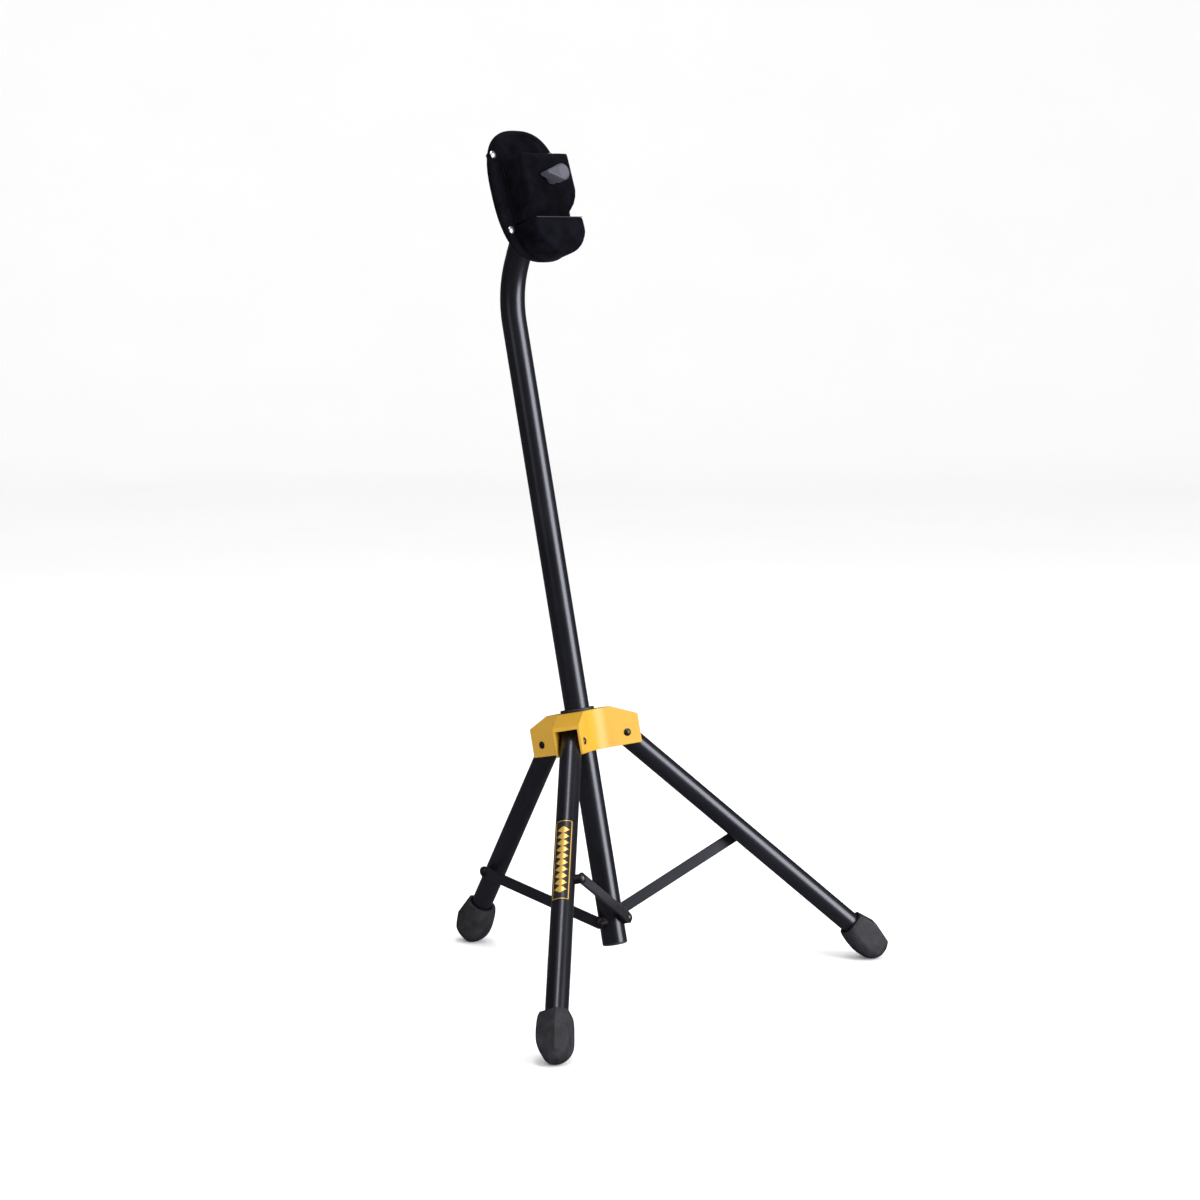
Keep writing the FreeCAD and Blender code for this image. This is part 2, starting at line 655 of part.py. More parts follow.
def build_lock():
    """A weld nut on the yoke and a knob with a screw that pinches the mast."""
    frame = MAST * lock_frame()
    wall = "(yoke_arm_half + yoke_bend) / sin(60) - yoke_bend"
    seat = add("Part::Prism", "nut_hexagon", lift(f"{wall} + 0.6"), Circumradius="5.8", Height="4.6")
    collar = cylinder("nut_collar", "lock_screw_radius + 1", "3.4", lift(f"{wall} - 2.6"))
    thread = cylinder("nut_thread", "lock_screw_radius + running_gap", "20", lift("10"))
    put("yoke_lock_nut", less("lock_nut", join("nut_blank", seat, collar), thread), frame)

    tip = "mast_radius + 2 * running_gap"
    screw_end = "lock_knob_start + lock_knob_depth - 4"
    screw = turned(
        "yoke_lock_screw",
        [
            ("0", tip),
            ("lock_screw_radius - 0.6", tip),
            ("lock_screw_radius", f"{tip} + 0.6"),
            ("lock_screw_radius", screw_end),
            ("0", screw_end),
        ],
    )
    put("yoke_lock_screw", screw, frame)

    knob = turned(
        "lock_knob_blank",
        [
            ("lock_screw_radius", "lock_knob_start"),
            ("lock_knob_radius - 4", "lock_knob_start"),
            ("lock_knob_radius - 3", "lock_knob_start + 3"),
            ("lock_knob_radius", "lock_knob_start + 4"),
            ("lock_knob_radius", "lock_knob_start + lock_knob_depth - 2"),
            ("lock_knob_radius - 2", "lock_knob_start + lock_knob_depth", "2"),
            ("0", "lock_knob_start + lock_knob_depth"),
            ("0", screw_end),
            ("lock_screw_radius", screw_end),
        ],
    )
    scallops = []
    for number in range(6):
        middle = polar(value("lock_knob_radius * 1.2"), 60 * number, value("lock_knob_start - 5"))
        name = f"lock_scallop_{number}"
        place = Placement(middle, Rotation())
        scallops.append(cylinder(name, "lock_knob_radius / 2.5", "2 * lock_knob_depth", place))
    put("yoke_lock_knob", less("lock_knob_scalloped", knob, *scallops), frame)


# ---- legs, feet and braces ----------------------------------------------------------------------------


def across_leg(name, radius, start, end, down="0"):
    """A cylinder along the leg frame's Y, from start to end, some way down the leg."""
    place = Placement(Vector(0, value(start), -value(down)), ALONG_Y)
    return cylinder(name, radius, f"({end}) - ({start})", place)


def build_leg(side):
    frame = leg_frame(side)
    length = "back_leg_length" if side == "back" else "front_leg_length"
    low = lift(f"-({length} + leg_in_foot)")
    whole = f"{length} + leg_in_foot + leg_above_pivot"
    outside = cylinder(f"{side}_leg_outside", "leg_radius", whole, low)
    inside = cylinder(f"{side}_leg_inside", "leg_radius - leg_wall", whole, low)
    end = "2 * leg_radius"
    pivot_drill = across_leg(f"{side}_leg_drill", "pin_radius + running_gap", f"-{end}", end)
    stud_drill = across_leg(f"{side}_stud_drill", "rivet_radius", "0", end, "brace_reach")
    put(f"{side}_leg_tube", less(f"{side}_leg_drilled", outside, inside, pivot_drill, stud_drill), frame)

    inner = "leg_radius - leg_wall"
    plug = turned(
        f"{side}_plug_blank",
        [
            ("0", "-leg_above_pivot"),
            (inner, "-leg_above_pivot"),
            (inner, "leg_above_pivot"),
            ("leg_radius", "leg_above_pivot"),
            ("leg_radius", "leg_above_pivot + 0.8"),
            ("leg_radius - 1.2", "leg_above_pivot + 2", "1.2"),
            ("0", "leg_above_pivot + 2"),
        ],
    )
    bore = across_leg(f"{side}_plug_drill", "pin_radius + running_gap", f"-{end}", end)
    put(f"{side}_leg_plug", less(f"{side}_plug_drilled", plug, bore), frame)


def build_stud(side):
    """A stud riveted into the leg's side, with a collar that faces the brace's rivet."""
    bar = across_leg(f"{side}_stud_bar", "rivet_head", "0", "stud_end", "brace_reach")
    saddle = cylinder(f"{side}_stud_saddle", "leg_radius", "20", lift("-brace_reach - 10"))
    collar = less(f"{side}_stud_collar", bar, saddle)
    inner = "leg_radius - leg_wall"
    tail_start = f"{inner} - 2.4"
    tail = across_leg(f"{side}_stud_tail", "stud_tail", tail_start, f"{inner} - 0.9", "brace_reach")
    shank = across_leg(f"{side}_stud_shank", "rivet_radius", tail_start, "stud_end", "brace_reach")
    put(f"{side}_leg_stud", join(f"{side}_stud", shank, collar, tail), leg_frame(side))


def foot_section(body, name, down, outer, under, half, corner):
    """A rounded rectangle across the foot, some way below its collar."""
    corners = [
        (f"{outer} - {corner}", f"-({half})"),
        (outer, f"{corner} - ({half})", corner),
        (outer, f"{half} - {corner}"),
        (f"{outer} - {corner}", half, corner),
        (f"{corner} - {under}", half),
        (f"-{under}", f"{half} - {corner}", corner),
        (f"-{under}", f"{corner} - ({half})"),
        (f"{corner} - {under}", f"-({half})", corner),
    ]
    return draw(body, "XY_Plane", name, corners, down)


def foot_facets(name, top):
    """Blocks that cut a foot's outer side into facets, which all meet in one point of its brow."""
    brow = at("foot_brow_out", "foot_brow_side", f"{top} - foot_brow_down")
    facets = []
    for number, (turned_by, tilt) in enumerate(FOOT_FACETS):
        facing = polar(math.cos(math.radians(tilt)), turned_by, math.sin(math.radians(tilt)))
        place = brow * Placement(Vector(), Rotation(Z_AXIS, facing)) * at("-40", "-40", "0")
        facets.append(box(f"{name}_facet_{number}", "80", "80", "20", place))
    return facets


def build_foot(side):
    """A rubber boot lofted through its cross-sections, bored for the leg and cut flat at the floor."""
    frame = leg_frame(side)
    length = "back_leg_length" if side == "back" else "front_leg_length"
    top = f"foot_before_middle - {length}"
    name = f"{side}_foot"
    body = doc.addObject("PartDesign::Body", f"{name}_boot")
    sketches = [
        foot_section(body, f"{name}_section_{number}", f"{top} - {down}", outer, under, half, corner)
        for number, (down, outer, under, half, corner) in enumerate(FOOT_SECTIONS)
    ]
    loft = body.newObject("PartDesign::AdditiveLoft", f"{name}_loft")
    loft.Profile = sketches[0]
    loft.Sections = sketches[1:]
    doc.recompute()
    bore = cylinder(f"{name}_bore", "leg_radius", "80", lift(f"-({length} + leg_in_foot)"))
    step = cylinder(f"{name}_step", "leg_radius + foot_collar_gap", "20", lift(f"{top} - 5"))
    ground = box(f"{name}_ground", "900", "900", "100", frame.inverse() * at("-450", "-450", "-100"))
    put(name, less(f"{name}_bored", body, bore, step, ground, *foot_facets(name, top)), frame)


def build_brace(side):
    """A flat bar on the mast's rivet. The rivet in its outer end stops short of the leg."""
    frame = brace_frame(side)
    body = doc.addObject("PartDesign::Body", f"{side}_bar")
    sketch = draw(
        body,
        "XZ_Plane",
        f"{side}_bar_outline",
        [
            ("brace_length", "-brace_half"),
            ("brace_length", "brace_half", "brace_half"),
            ("0", "brace_half"),
            ("0", "-brace_half", "brace_half"),
        ],
        "-brace_offset - brace_sheet",
    )
    pad = body.newObject("PartDesign::Pad", f"{side}_bar_pad")
    pad.Profile = sketch
    pad.setExpression("Length", formula("brace_sheet"))
    doc.recompute()
    rounded(f"{side}_bar", body, 0.5, lambda edge: edge.BoundBox.YLength < 0.1)
    drills = []
    for end, along, radius in (
        ("hub", "0", "rivet_radius + running_gap"),
        ("leg", "brace_length", "rivet_radius"),
    ):
        place = at(along, "brace_offset - 5", "0", ALONG_Y)
        drills.append(cylinder(f"{side}_bar_{end}_drill", radius, "brace_sheet + 10", place))
    put(f"{side}_brace", less(f"{side}_bar_drilled", body, *drills), frame)

    start = "stud_end + 2 * running_gap"
    inner = at("brace_length", start, "0", ALONG_Y)
    outer = at("brace_length", "brace_offset + brace_sheet", "0", ALONG_Y)
    shank = cylinder(f"{side}_stub", "rivet_radius", f"brace_offset + brace_sheet - ({start})", inner)
    collar = cylinder(f"{side}_stub_collar", "rivet_head", f"brace_offset - ({start})", inner)
    head = dome(f"{side}_stub_head", "rivet_head", "rivet_rise", outer)
    put(f"{side}_brace_rivet", join(f"{side}_stub_rivet", shank, collar, head), frame)


def build_badge():
    """A thin plate bent round the outer side of the front left leg."""
    low = lift("-badge_start - badge_length")
    outside = cylinder("badge_outside", "leg_radius + badge_depth", "badge_length", low)
    inside = cylinder("badge_inside", "leg_radius", "badge_length", low)
    window = padded(
        "badge_window",
        "YZ_Plane",
        [
            ("badge_half", "-badge_start - 3"),
            ("badge_half - 3", "-badge_start", "3"),
            ("3 - badge_half", "-badge_start"),
            ("-badge_half", "-badge_start - 3", "3"),
            ("-badge_half", "3 - badge_start - badge_length"),
            ("3 - badge_half", "-badge_start - badge_length", "3"),
            ("badge_half - 3", "-badge_start - badge_length"),
            ("badge_half", "3 - badge_start - badge_length", "3"),
        ],
        "2 * leg_radius",
        "0.01",
    )
    shell = less("badge_shell", outside, inside)
    turn = Placement(Vector(), Rotation(Z_AXIS, value("badge_turn")))
    put("leg_badge", common("badge_cut", shell, window), leg_frame("front_left") * turn)


# ---- the rest -----------------------------------------------------------------------------------------


def oval(name, start, depth, inset=0.0):
    """The rest's oval, |x/a|^n + |z/b|^n = 1, from Y = start back through depth."""
    power = 2 / value("rest_power")
    width = value("rest_half_width") - inset
    height = value("rest_half_height") - inset
    middle = value("oval_lift")
    spots = []
    for step in range(48):
        angle = 2 * math.pi * step / 48
        across, up = math.cos(angle), math.sin(angle)
        spots.append(
            Vector(
                width * math.copysign(abs(across) ** power, across),
                start,
                middle + height * math.copysign(abs(up) ** power, up),
            )
        )
    curve = Part.BSplineCurve()
    curve.interpolate(Points=spots, PeriodicFlag=True)
    made = doc.addObject("Part::Feature", name)
    made.Shape = Part.Face(Part.Wire([curve.toShape()])).extrude(Vector(0, depth, 0))
    return made


def through(name, radius, start, end, across, up):
    """A cylinder along the head frame's Y from start back to end."""
    return cylinder(name, radius, f"({end}) - ({start})", at(across, start, up, ALONG_Y))


def slot(name, half, start, end, low, high):
    """A round-ended slot along the head frame's Z."""
    place = at(f"-({half})", start, low)
    middle = box(name + "_middle", f"2 * ({half})", f"({end}) - ({start})", f"({high}) - ({low})", place)
    ends = [through(f"{name}_{index}", half, start, end, "0", up) for index, up in enumerate((low, high))]
    return join(name, middle, *ends)


def plate_rivet_spots():
    rows = (("plate_rivet_across", "plate_rivet_up"), ("plate_rivet_low_across", "-plate_rivet_down"))
    return [(f"{sign} * {across}", up) for across, up in rows for sign in ("-1", "1")]


def bracket_screw_spots():
    return [
        (f"{sign} * (bracket_half - 6)", up)
        for up in ("bracket_up - 6", "6 - bracket_down")
        for sign in ("-1", "1")
    ]


def lip_screw_spots():
    return [("-18", "lip_side_end - 3"), ("18", "lip_side_end - 3")]


def screw_seat(name, across, up):
    """The cone of a countersunk screw, flush with the plate's front."""
    place = at(across, "pad_depth", up, ALONG_Y)
    return add("Part::Cone", name, place, Radius1="screw_head", Radius2="screw_radius", Height="1.6")


def build_plate():
    """The steel oval and the velvet-covered pad on its front."""
    back = "pad_depth + plate_depth + 1"
    rivet_holes = [
        through(f"plate_rivet_hole_{index}", "plate_rivet_shank", "-1", back, *spot)
        for index, spot in enumerate(plate_rivet_spots())
    ]
    screw_holes = [
        through(f"plate_screw_hole_{index}", "screw_radius", "pad_depth - 1", back, *spot)
        for index, spot in enumerate(bracket_screw_spots() + lip_screw_spots())
    ]
    seats = [
        screw_seat(f"plate_screw_seat_{index}", *spot)
        for index, spot in enumerate(bracket_screw_spots())
    ]
    low = "clamp_up - 0.3"
    high = "clamp_up + slide_travel + 0.3"
    lane = slot("plate_slot", "clamp_radius + 0.3", "-1", back, low, high)
    plate = oval("plate_blank", value("pad_depth"), value("plate_depth"), 1.0)
    put("rest_plate", less("plate_cut", plate, lane, *rivet_holes, *screw_holes, *seats), HEAD)

    pad_rivet_holes = [
        through(f"pad_rivet_hole_{index}", "plate_rivet_shank", "-1", back, *spot)
        for index, spot in enumerate(plate_rivet_spots())
    ]
    lip_holes = [
        through(f"pad_screw_hole_{index}", "screw_radius", "-1", back, *spot)
        for index, spot in enumerate(lip_screw_spots())
    ]
    pad_lane = slot("pad_slot", "clamp_radius + 0.6", "-1", back, low, high)
    pad = oval("pad_blank", 0.0, value("pad_depth"))
    put("rest_pad", less("pad_cut", pad, pad_lane, *pad_rivet_holes, *lip_holes), HEAD)


def build_plate_rivets():
    rivets = []
    back = "pad_depth + plate_depth"
    for index, (across, up) in enumerate(plate_rivet_spots()):
        front = at(across, "0", up, ALONG_MINUS_Y)
        head = dome(f"plate_rivet_head_{index}", "plate_rivet_head", "1.4", front)
        shank = through(f"plate_rivet_shank_{index}", "plate_rivet_shank", "0", back, across, up)
        tail = through(f"plate_rivet_tail_{index}", "plate_rivet_shank + 1", back, f"{back} + 1", across, up)
        rivets.append(join(f"plate_rivet_{index}", head, shank, tail))
    put("rest_plate_rivets", group("plate_rivet_group", rivets), HEAD)


def block_outline(inset, bottom):
    """The sliding block's side outline as (back, up) corners, inset on every side but its back."""
    return [
        ("-0.1", bottom),
        (f"{inset} - notch_wall", bottom),
        (f"{inset} - notch_wall", "notch_top"),
        (f"{inset} - block_front", "block_bulge_end", f"-(notch_bend + ({inset}))"),
        (f"{inset} - block_front", f"block_top - ({inset})"),
        ("-0.1", f"block_top - ({inset})"),
    ]


def build_block():
    """The sliding block: a moulded core under a velvet cover."""
    inside = block_outline("velvet", "block_bottom + velvet")
    inside_width = "2 * (block_half - velvet)"
    core = padded("block_core_solid", "YZ_Plane", inside, inside_width)
    bolt_hole = through("block_bolt_hole", "clamp_radius", "-60", "10", "0", "clamp_up")
    put("block_core", less("block_core_drilled", core, bolt_hole), HEAD)

    whole = padded("block_whole", "YZ_Plane", block_outline("0", "block_bottom"), "2 * block_half")
    hollow = padded("block_hollow", "YZ_Plane", inside, inside_width)
    cover_hole = through("cover_bolt_hole", "clamp_radius", "-60", "10", "0", "clamp_up")
    put("block_cover", less("block_cover_cut", whole, hollow, cover_hole), HEAD)


def lip_outline(inset):
    """The lip's front outline: a flat shelf, short sides and an arch below."""
    half = f"(block_half - ({inset}))"
    rise = f"(lip_side_end - lip_bottom - ({inset}))"
    arch = f"({half}^2 + {rise}^2) / (2 * {rise})"
    return [
        (half, f"lip_top - ({inset})"),
        (f"-{half}", f"lip_top - ({inset})"),
        (f"-{half}", "lip_side_end"),
        (half, "lip_side_end", arch),
    ]


def lip_solid(name, inset, front):
    """The lip's outline padded from the pad forwards."""
    body = doc.addObject("PartDesign::Body", name)
    pad = body.newObject("PartDesign::Pad", name + "_pad")
    pad.Profile = draw(body, "XZ_Plane", name + "_outline", lip_outline(inset))
    pad.setExpression("Length", formula(front))
    doc.recompute()
    return body


def build_lip():
    """The fixed lip below the notch: a moulded core under a velvet cover, screwed on from behind."""
    core = lip_solid("lip_core_solid", "velvet", "lip_front - velvet")
    holes = [
        through(f"lip_screw_hole_{index}", "screw_radius", "-12", "5", *spot)
        for index, spot in enumerate(lip_screw_spots())
    ]
    put("lip_core", less("lip_core_drilled", core, *holes), HEAD)
    whole = lip_solid("lip_whole", "0", "lip_front")
    hollow = lip_solid("lip_hollow", "velvet", "lip_front - velvet")
    put("lip_cover", less("lip_cover_cut", whole, hollow), HEAD)

    screws = []
    back = "pad_depth + plate_depth"
    for index, (across, up) in enumerate(lip_screw_spots()):
        shank = through(f"lip_screw_shank_{index}", "screw_radius", "-11", back, across, up)
        head = dome(f"lip_screw_head_{index}", "screw_head", "1.8", at(across, back, up, ALONG_Y))
        screws.append(join(f"lip_screw_{index}", shank, head))
    put("lip_screws", group("lip_screw_group", screws), HEAD)


def bracket_body(back):
    """The moulded body behind the plate, with rounded corners."""
    return padded(
        "bracket_body",
        "XZ_Plane",
        [
            ("bracket_half", "bracket_up - 8"),
            ("bracket_half - 8", "bracket_up", "8"),
            ("8 - bracket_half", "bracket_up"),
            ("-bracket_half", "bracket_up - 8", "8"),
            ("-bracket_half", "8 - bracket_down"),
            ("8 - bracket_half", "-bracket_down", "8"),
            ("bracket_half - 8", "-bracket_down"),
            ("bracket_half", "8 - bracket_down", "8"),
        ],
        "bracket_depth",
        f"-({back}) - bracket_depth",
    )


def build_bracket():
    """Behind the plate: a neck with a spigot inside the mast's end, and a channel for the bolt's head."""
    back = "pad_depth + plate_depth"
    to_end = HEAD.inverse() * MAST * mast_end()
    neck = cylinder("bracket_neck_bar", "neck_radius", "70", to_end)
    behind = box("bracket_behind", "100", "60", "140", at("-50", f"{back} + bracket_depth / 2", "-90"))
    shell = join("bracket_shell", bracket_body(back), common("bracket_neck", neck, behind))
    room = cylinder("bracket_tube_room", "mast_radius + 0.2", "60", to_end * lift("-60"))
    inner = "mast_radius - mast_wall"
    spigot = cylinder("bracket_spigot", inner, "spigot_length + 1", to_end * lift("-spigot_length"))
    blank = join("bracket_blank", less("bracket_seated", shell, room), spigot)
    bottom = "clamp_up - clamp_head_half - 1.6"
    top = "clamp_up + slide_travel + clamp_head_half + 1.6"
    width = "2 * (clamp_head_half + 0.15)"
    channel_place = at(f"-({width}) / 2", back, bottom)
    channel = box("bracket_channel", width, "clamp_head_depth + 1", f"{top} - ({bottom})", channel_place)
    screw_end = f"{back} + bracket_depth - 1"
    screw_holes = [
        through(f"bracket_screw_hole_{index}", "screw_radius", back, screw_end, *spot)
        for index, spot in enumerate(bracket_screw_spots())
    ]
    pilots = []
    for index, place in enumerate(spigot_screw_places()):
        pilot_low = HEAD.inverse() * MAST * place * lift("mast_radius - 7")
        pilots.append(cylinder(f"spigot_pilot_{index}", "top_screw_radius", "8", pilot_low))
    put("rest_bracket", less("bracket_cut", blank, channel, *pilots, *screw_holes), HEAD)

    screws = []
    for index, spot in enumerate(bracket_screw_spots()):
        head = screw_seat(f"bracket_screw_head_{index}", *spot)
        shank = through(f"bracket_screw_shank_{index}", "screw_radius", "pad_depth + 1", screw_end, *spot)
        screws.append(join(f"bracket_screw_{index}", head, shank))
    put("rest_bracket_screws", group("bracket_screw_group", screws), HEAD)


def build_top_screws():
    """Two screws through the back of the mast's end into the bracket's spigot."""
    screws = []
    for index, place in enumerate(spigot_screw_places()):
        shank = cylinder(f"top_screw_shank_{index}", "top_screw_radius", "8", place * lift("mast_radius - 7"))
        base = cylinder(f"top_screw_base_{index}", "top_screw_head", "1.6", place * lift("mast_radius - 0.7"))
        head = dome(f"top_screw_dome_{index}", "top_screw_head", "1.2", place * lift("mast_radius + 0.9"))
        tube = cylinder(f"top_screw_saddle_{index}", "mast_radius", "60", mast_end() * lift("-50"))
        cap = less(f"top_screw_cap_{index}", join(f"top_screw_top_{index}", base, head), tube)
        screws.append(join(f"top_screw_{index}", shank, cap))
    put("mast_top_screws", group("top_screw_group", screws), MAST)


def build_clamp():
    """The bolt whose head slides in the bracket, and the wing knob on its end."""
    back = "pad_depth + plate_depth"
    across_flats = "2 * clamp_head_half"
    head_place = at("-clamp_head_half", f"{back} + 0.5", "clamp_up - clamp_head_half")
    head = box("clamp_head", across_flats, "clamp_head_depth", across_flats, head_place)
    shank = through("clamp_shank", "clamp_radius", "-clamp_end", f"{back} + 1", "0", "clamp_up")
    put("clamp_bolt", join("clamp_bolt_solid", head, shank), HEAD)

    frame = HEAD * at("0", "0", "clamp_up", ALONG_MINUS_Y)
    ratio = "wing_radius / wing_tip"
    across = f"(-wing_radius * {ratio})"
    up = f"(wing_radius * sqrt(1 - ({ratio})^2))"
    wing = padded(
        "wing_blank",
        "XY_Plane",
        [
            ("2 - wing_tip", "1.4"),
            ("2 - wing_tip", "-1.4", "1.6"),
            (across, f"-{up}"),
            ("wing_radius", "0", "wing_radius"),
            (across, up, "wing_radius"),
        ],
        "wing_end - wing_back",
        "wing_back",
    )
    rounded("wing_blank", wing, 1.3, lambda edge: edge.BoundBox.ZMin > value("wing_end") - 0.1)
    hub = cylinder("wing_hub_bar", "wing_hub", "wing_back - wing_start + 1", lift("wing_start"))
    insert_hole = cylinder("wing_insert_hole", "wing_insert", "13", lift("wing_start - 0.5"))
    cap_hole = cylinder("wing_cap_hole", "wing_cap", "2", lift("wing_end - 1"))
    put("wing_knob", less("wing_bored", join("wing_solid", wing, hub), insert_hole, cap_hole), frame)

    insert = turned(
        "knob_insert",
        [
            ("clamp_radius + running_gap", "wing_start - 0.3"),
            ("wing_insert", "wing_start - 0.3"),
            ("wing_insert", "wing_start + 12.5"),
            ("clamp_radius + running_gap", "wing_start + 12.5"),
        ],
    )
    put("wing_knob_insert", insert, frame)
    cap = turned(
        "knob_cap",
        [
            ("0", "wing_end - 1"),
            ("wing_cap", "wing_end - 1"),
            ("wing_cap", "wing_end"),
            ("wing_cap - 0.5", "wing_end + 0.5", "0.5"),
            ("0", "wing_end + 0.5"),
        ],
    )
    put("wing_knob_cap", cap, frame)


# ---- build, check and write ---------------------------------------------------------------------------


def build():
    build_mast_tube()
    build_mast_end_plug()
    build_hub_fasteners()
    build_yoke()
    build_yoke_bushing()
    build_leg_pins()
    build_lock()
    for side in LEGS:
        build_leg(side)
        build_stud(side)
        build_foot(side)
        build_brace(side)
    build_badge()
    build_plate()
    build_plate_rivets()
    build_block()
    build_lip()
    build_bracket()
    build_top_screws()
    build_clamp()
    doc.recompute()


def check():
    """Stops on any object that failed and on any sub-part that is empty or not valid."""
    for item in doc.Objects:
        if {"Invalid", "Error"} & set(item.State):
            raise RuntimeError(f"{item.Name} failed: {item.State}")
    for name, item in NODES.items():
        if item.Shape.isNull() or not item.Shape.Solids or not item.Shape.isValid():
            raise RuntimeError(f"{name} has no valid solid")


def write():
    os.makedirs("parts", exist_ok=True)
    for name, item in NODES.items():
        item.Shape.exportStep(f"parts/{name}.step")


build()
check()
write()
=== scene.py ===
"""The looks of the folding horn stand: finishes, velvet, floor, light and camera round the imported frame."""

import json
import math

import bmesh
import bpy
from mathutils import Matrix, Vector
from mathutils.bvhtree import BVHTree

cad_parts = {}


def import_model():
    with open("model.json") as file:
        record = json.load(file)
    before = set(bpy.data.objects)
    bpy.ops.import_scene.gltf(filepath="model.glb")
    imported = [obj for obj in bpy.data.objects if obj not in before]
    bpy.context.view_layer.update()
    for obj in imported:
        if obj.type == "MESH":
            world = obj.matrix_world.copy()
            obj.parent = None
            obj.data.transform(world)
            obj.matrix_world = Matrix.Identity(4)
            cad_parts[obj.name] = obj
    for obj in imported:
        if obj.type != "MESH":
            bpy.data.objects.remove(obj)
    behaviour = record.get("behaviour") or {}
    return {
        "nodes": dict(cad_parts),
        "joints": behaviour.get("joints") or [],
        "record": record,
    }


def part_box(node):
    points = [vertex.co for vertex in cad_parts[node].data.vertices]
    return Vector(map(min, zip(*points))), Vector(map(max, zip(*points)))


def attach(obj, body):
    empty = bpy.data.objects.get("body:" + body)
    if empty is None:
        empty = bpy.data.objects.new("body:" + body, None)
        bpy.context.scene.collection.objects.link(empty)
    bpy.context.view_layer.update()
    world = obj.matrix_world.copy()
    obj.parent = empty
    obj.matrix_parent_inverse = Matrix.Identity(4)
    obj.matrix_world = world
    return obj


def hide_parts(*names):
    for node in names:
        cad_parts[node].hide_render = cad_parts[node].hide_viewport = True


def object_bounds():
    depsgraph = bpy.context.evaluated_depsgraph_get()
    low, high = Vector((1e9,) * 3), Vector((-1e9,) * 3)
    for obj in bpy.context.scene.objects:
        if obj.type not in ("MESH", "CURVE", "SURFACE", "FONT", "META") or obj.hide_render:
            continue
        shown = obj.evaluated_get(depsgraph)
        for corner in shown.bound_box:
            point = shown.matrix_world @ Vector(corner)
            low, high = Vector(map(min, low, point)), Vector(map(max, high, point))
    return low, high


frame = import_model()
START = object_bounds()

NODES = frame["nodes"]
JOINTS = {joint["name"]: joint for joint in frame["joints"]}
MM = 0.001
SCENE = bpy.context.scene


# ---- frames read from the joints ----------------------------------------------------------------------


def axes(x, y, z, origin=(0, 0, 0)):
    """A placement from three unit directions and an origin."""
    turn = Matrix((x, y, z)).transposed().to_4x4()
    return Matrix.Translation(Vector(origin)) @ turn


def span(node, place):
    """Lowest and highest corner of a CAD node's own points as seen in a placement."""
    inverse = place.inverted()
    points = [inverse @ corner.co for corner in NODES[node].data.vertices]
    low = Vector([min(point[axis] for point in points) for axis in range(3)])
    high = Vector([max(point[axis] for point in points) for axis in range(3)])
    return low, high


def head_frame():
    """Origin at the middle of the rest's front, Z up the rest, +Y into its back."""
    up = Vector(JOINTS["rest_block_slide"]["axis"]).normalized()
    across = Vector((1, 0, 0))
    back = up.cross(across).normalized()
    low, high = span("rest_pad", axes(across, back, up))
    origin = across * (low.x + high.x) / 2 + back * low.y + up * (low.z + high.z) / 2
    return axes(across, back, up, origin)


def leg_frame(side):
    """Origin on the leg's pivot, Z up the leg, X out of its outer side, Y along the pivot pin."""
    pivot = Vector(JOINTS[side + "_leg_hinge"]["pos_m"])
    pin = Vector(JOINTS[side + "_leg_hinge"]["axis"]).normalized()
    low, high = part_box(side + "_foot")
    toe = (low + high) / 2
    up = pivot - toe
    up = (up - pin * up.dot(pin)).normalized()
    return axes(pin.cross(up), pin, up, pivot)


HEAD = head_frame()


# ---- node helpers -------------------------------------------------------------------------------------


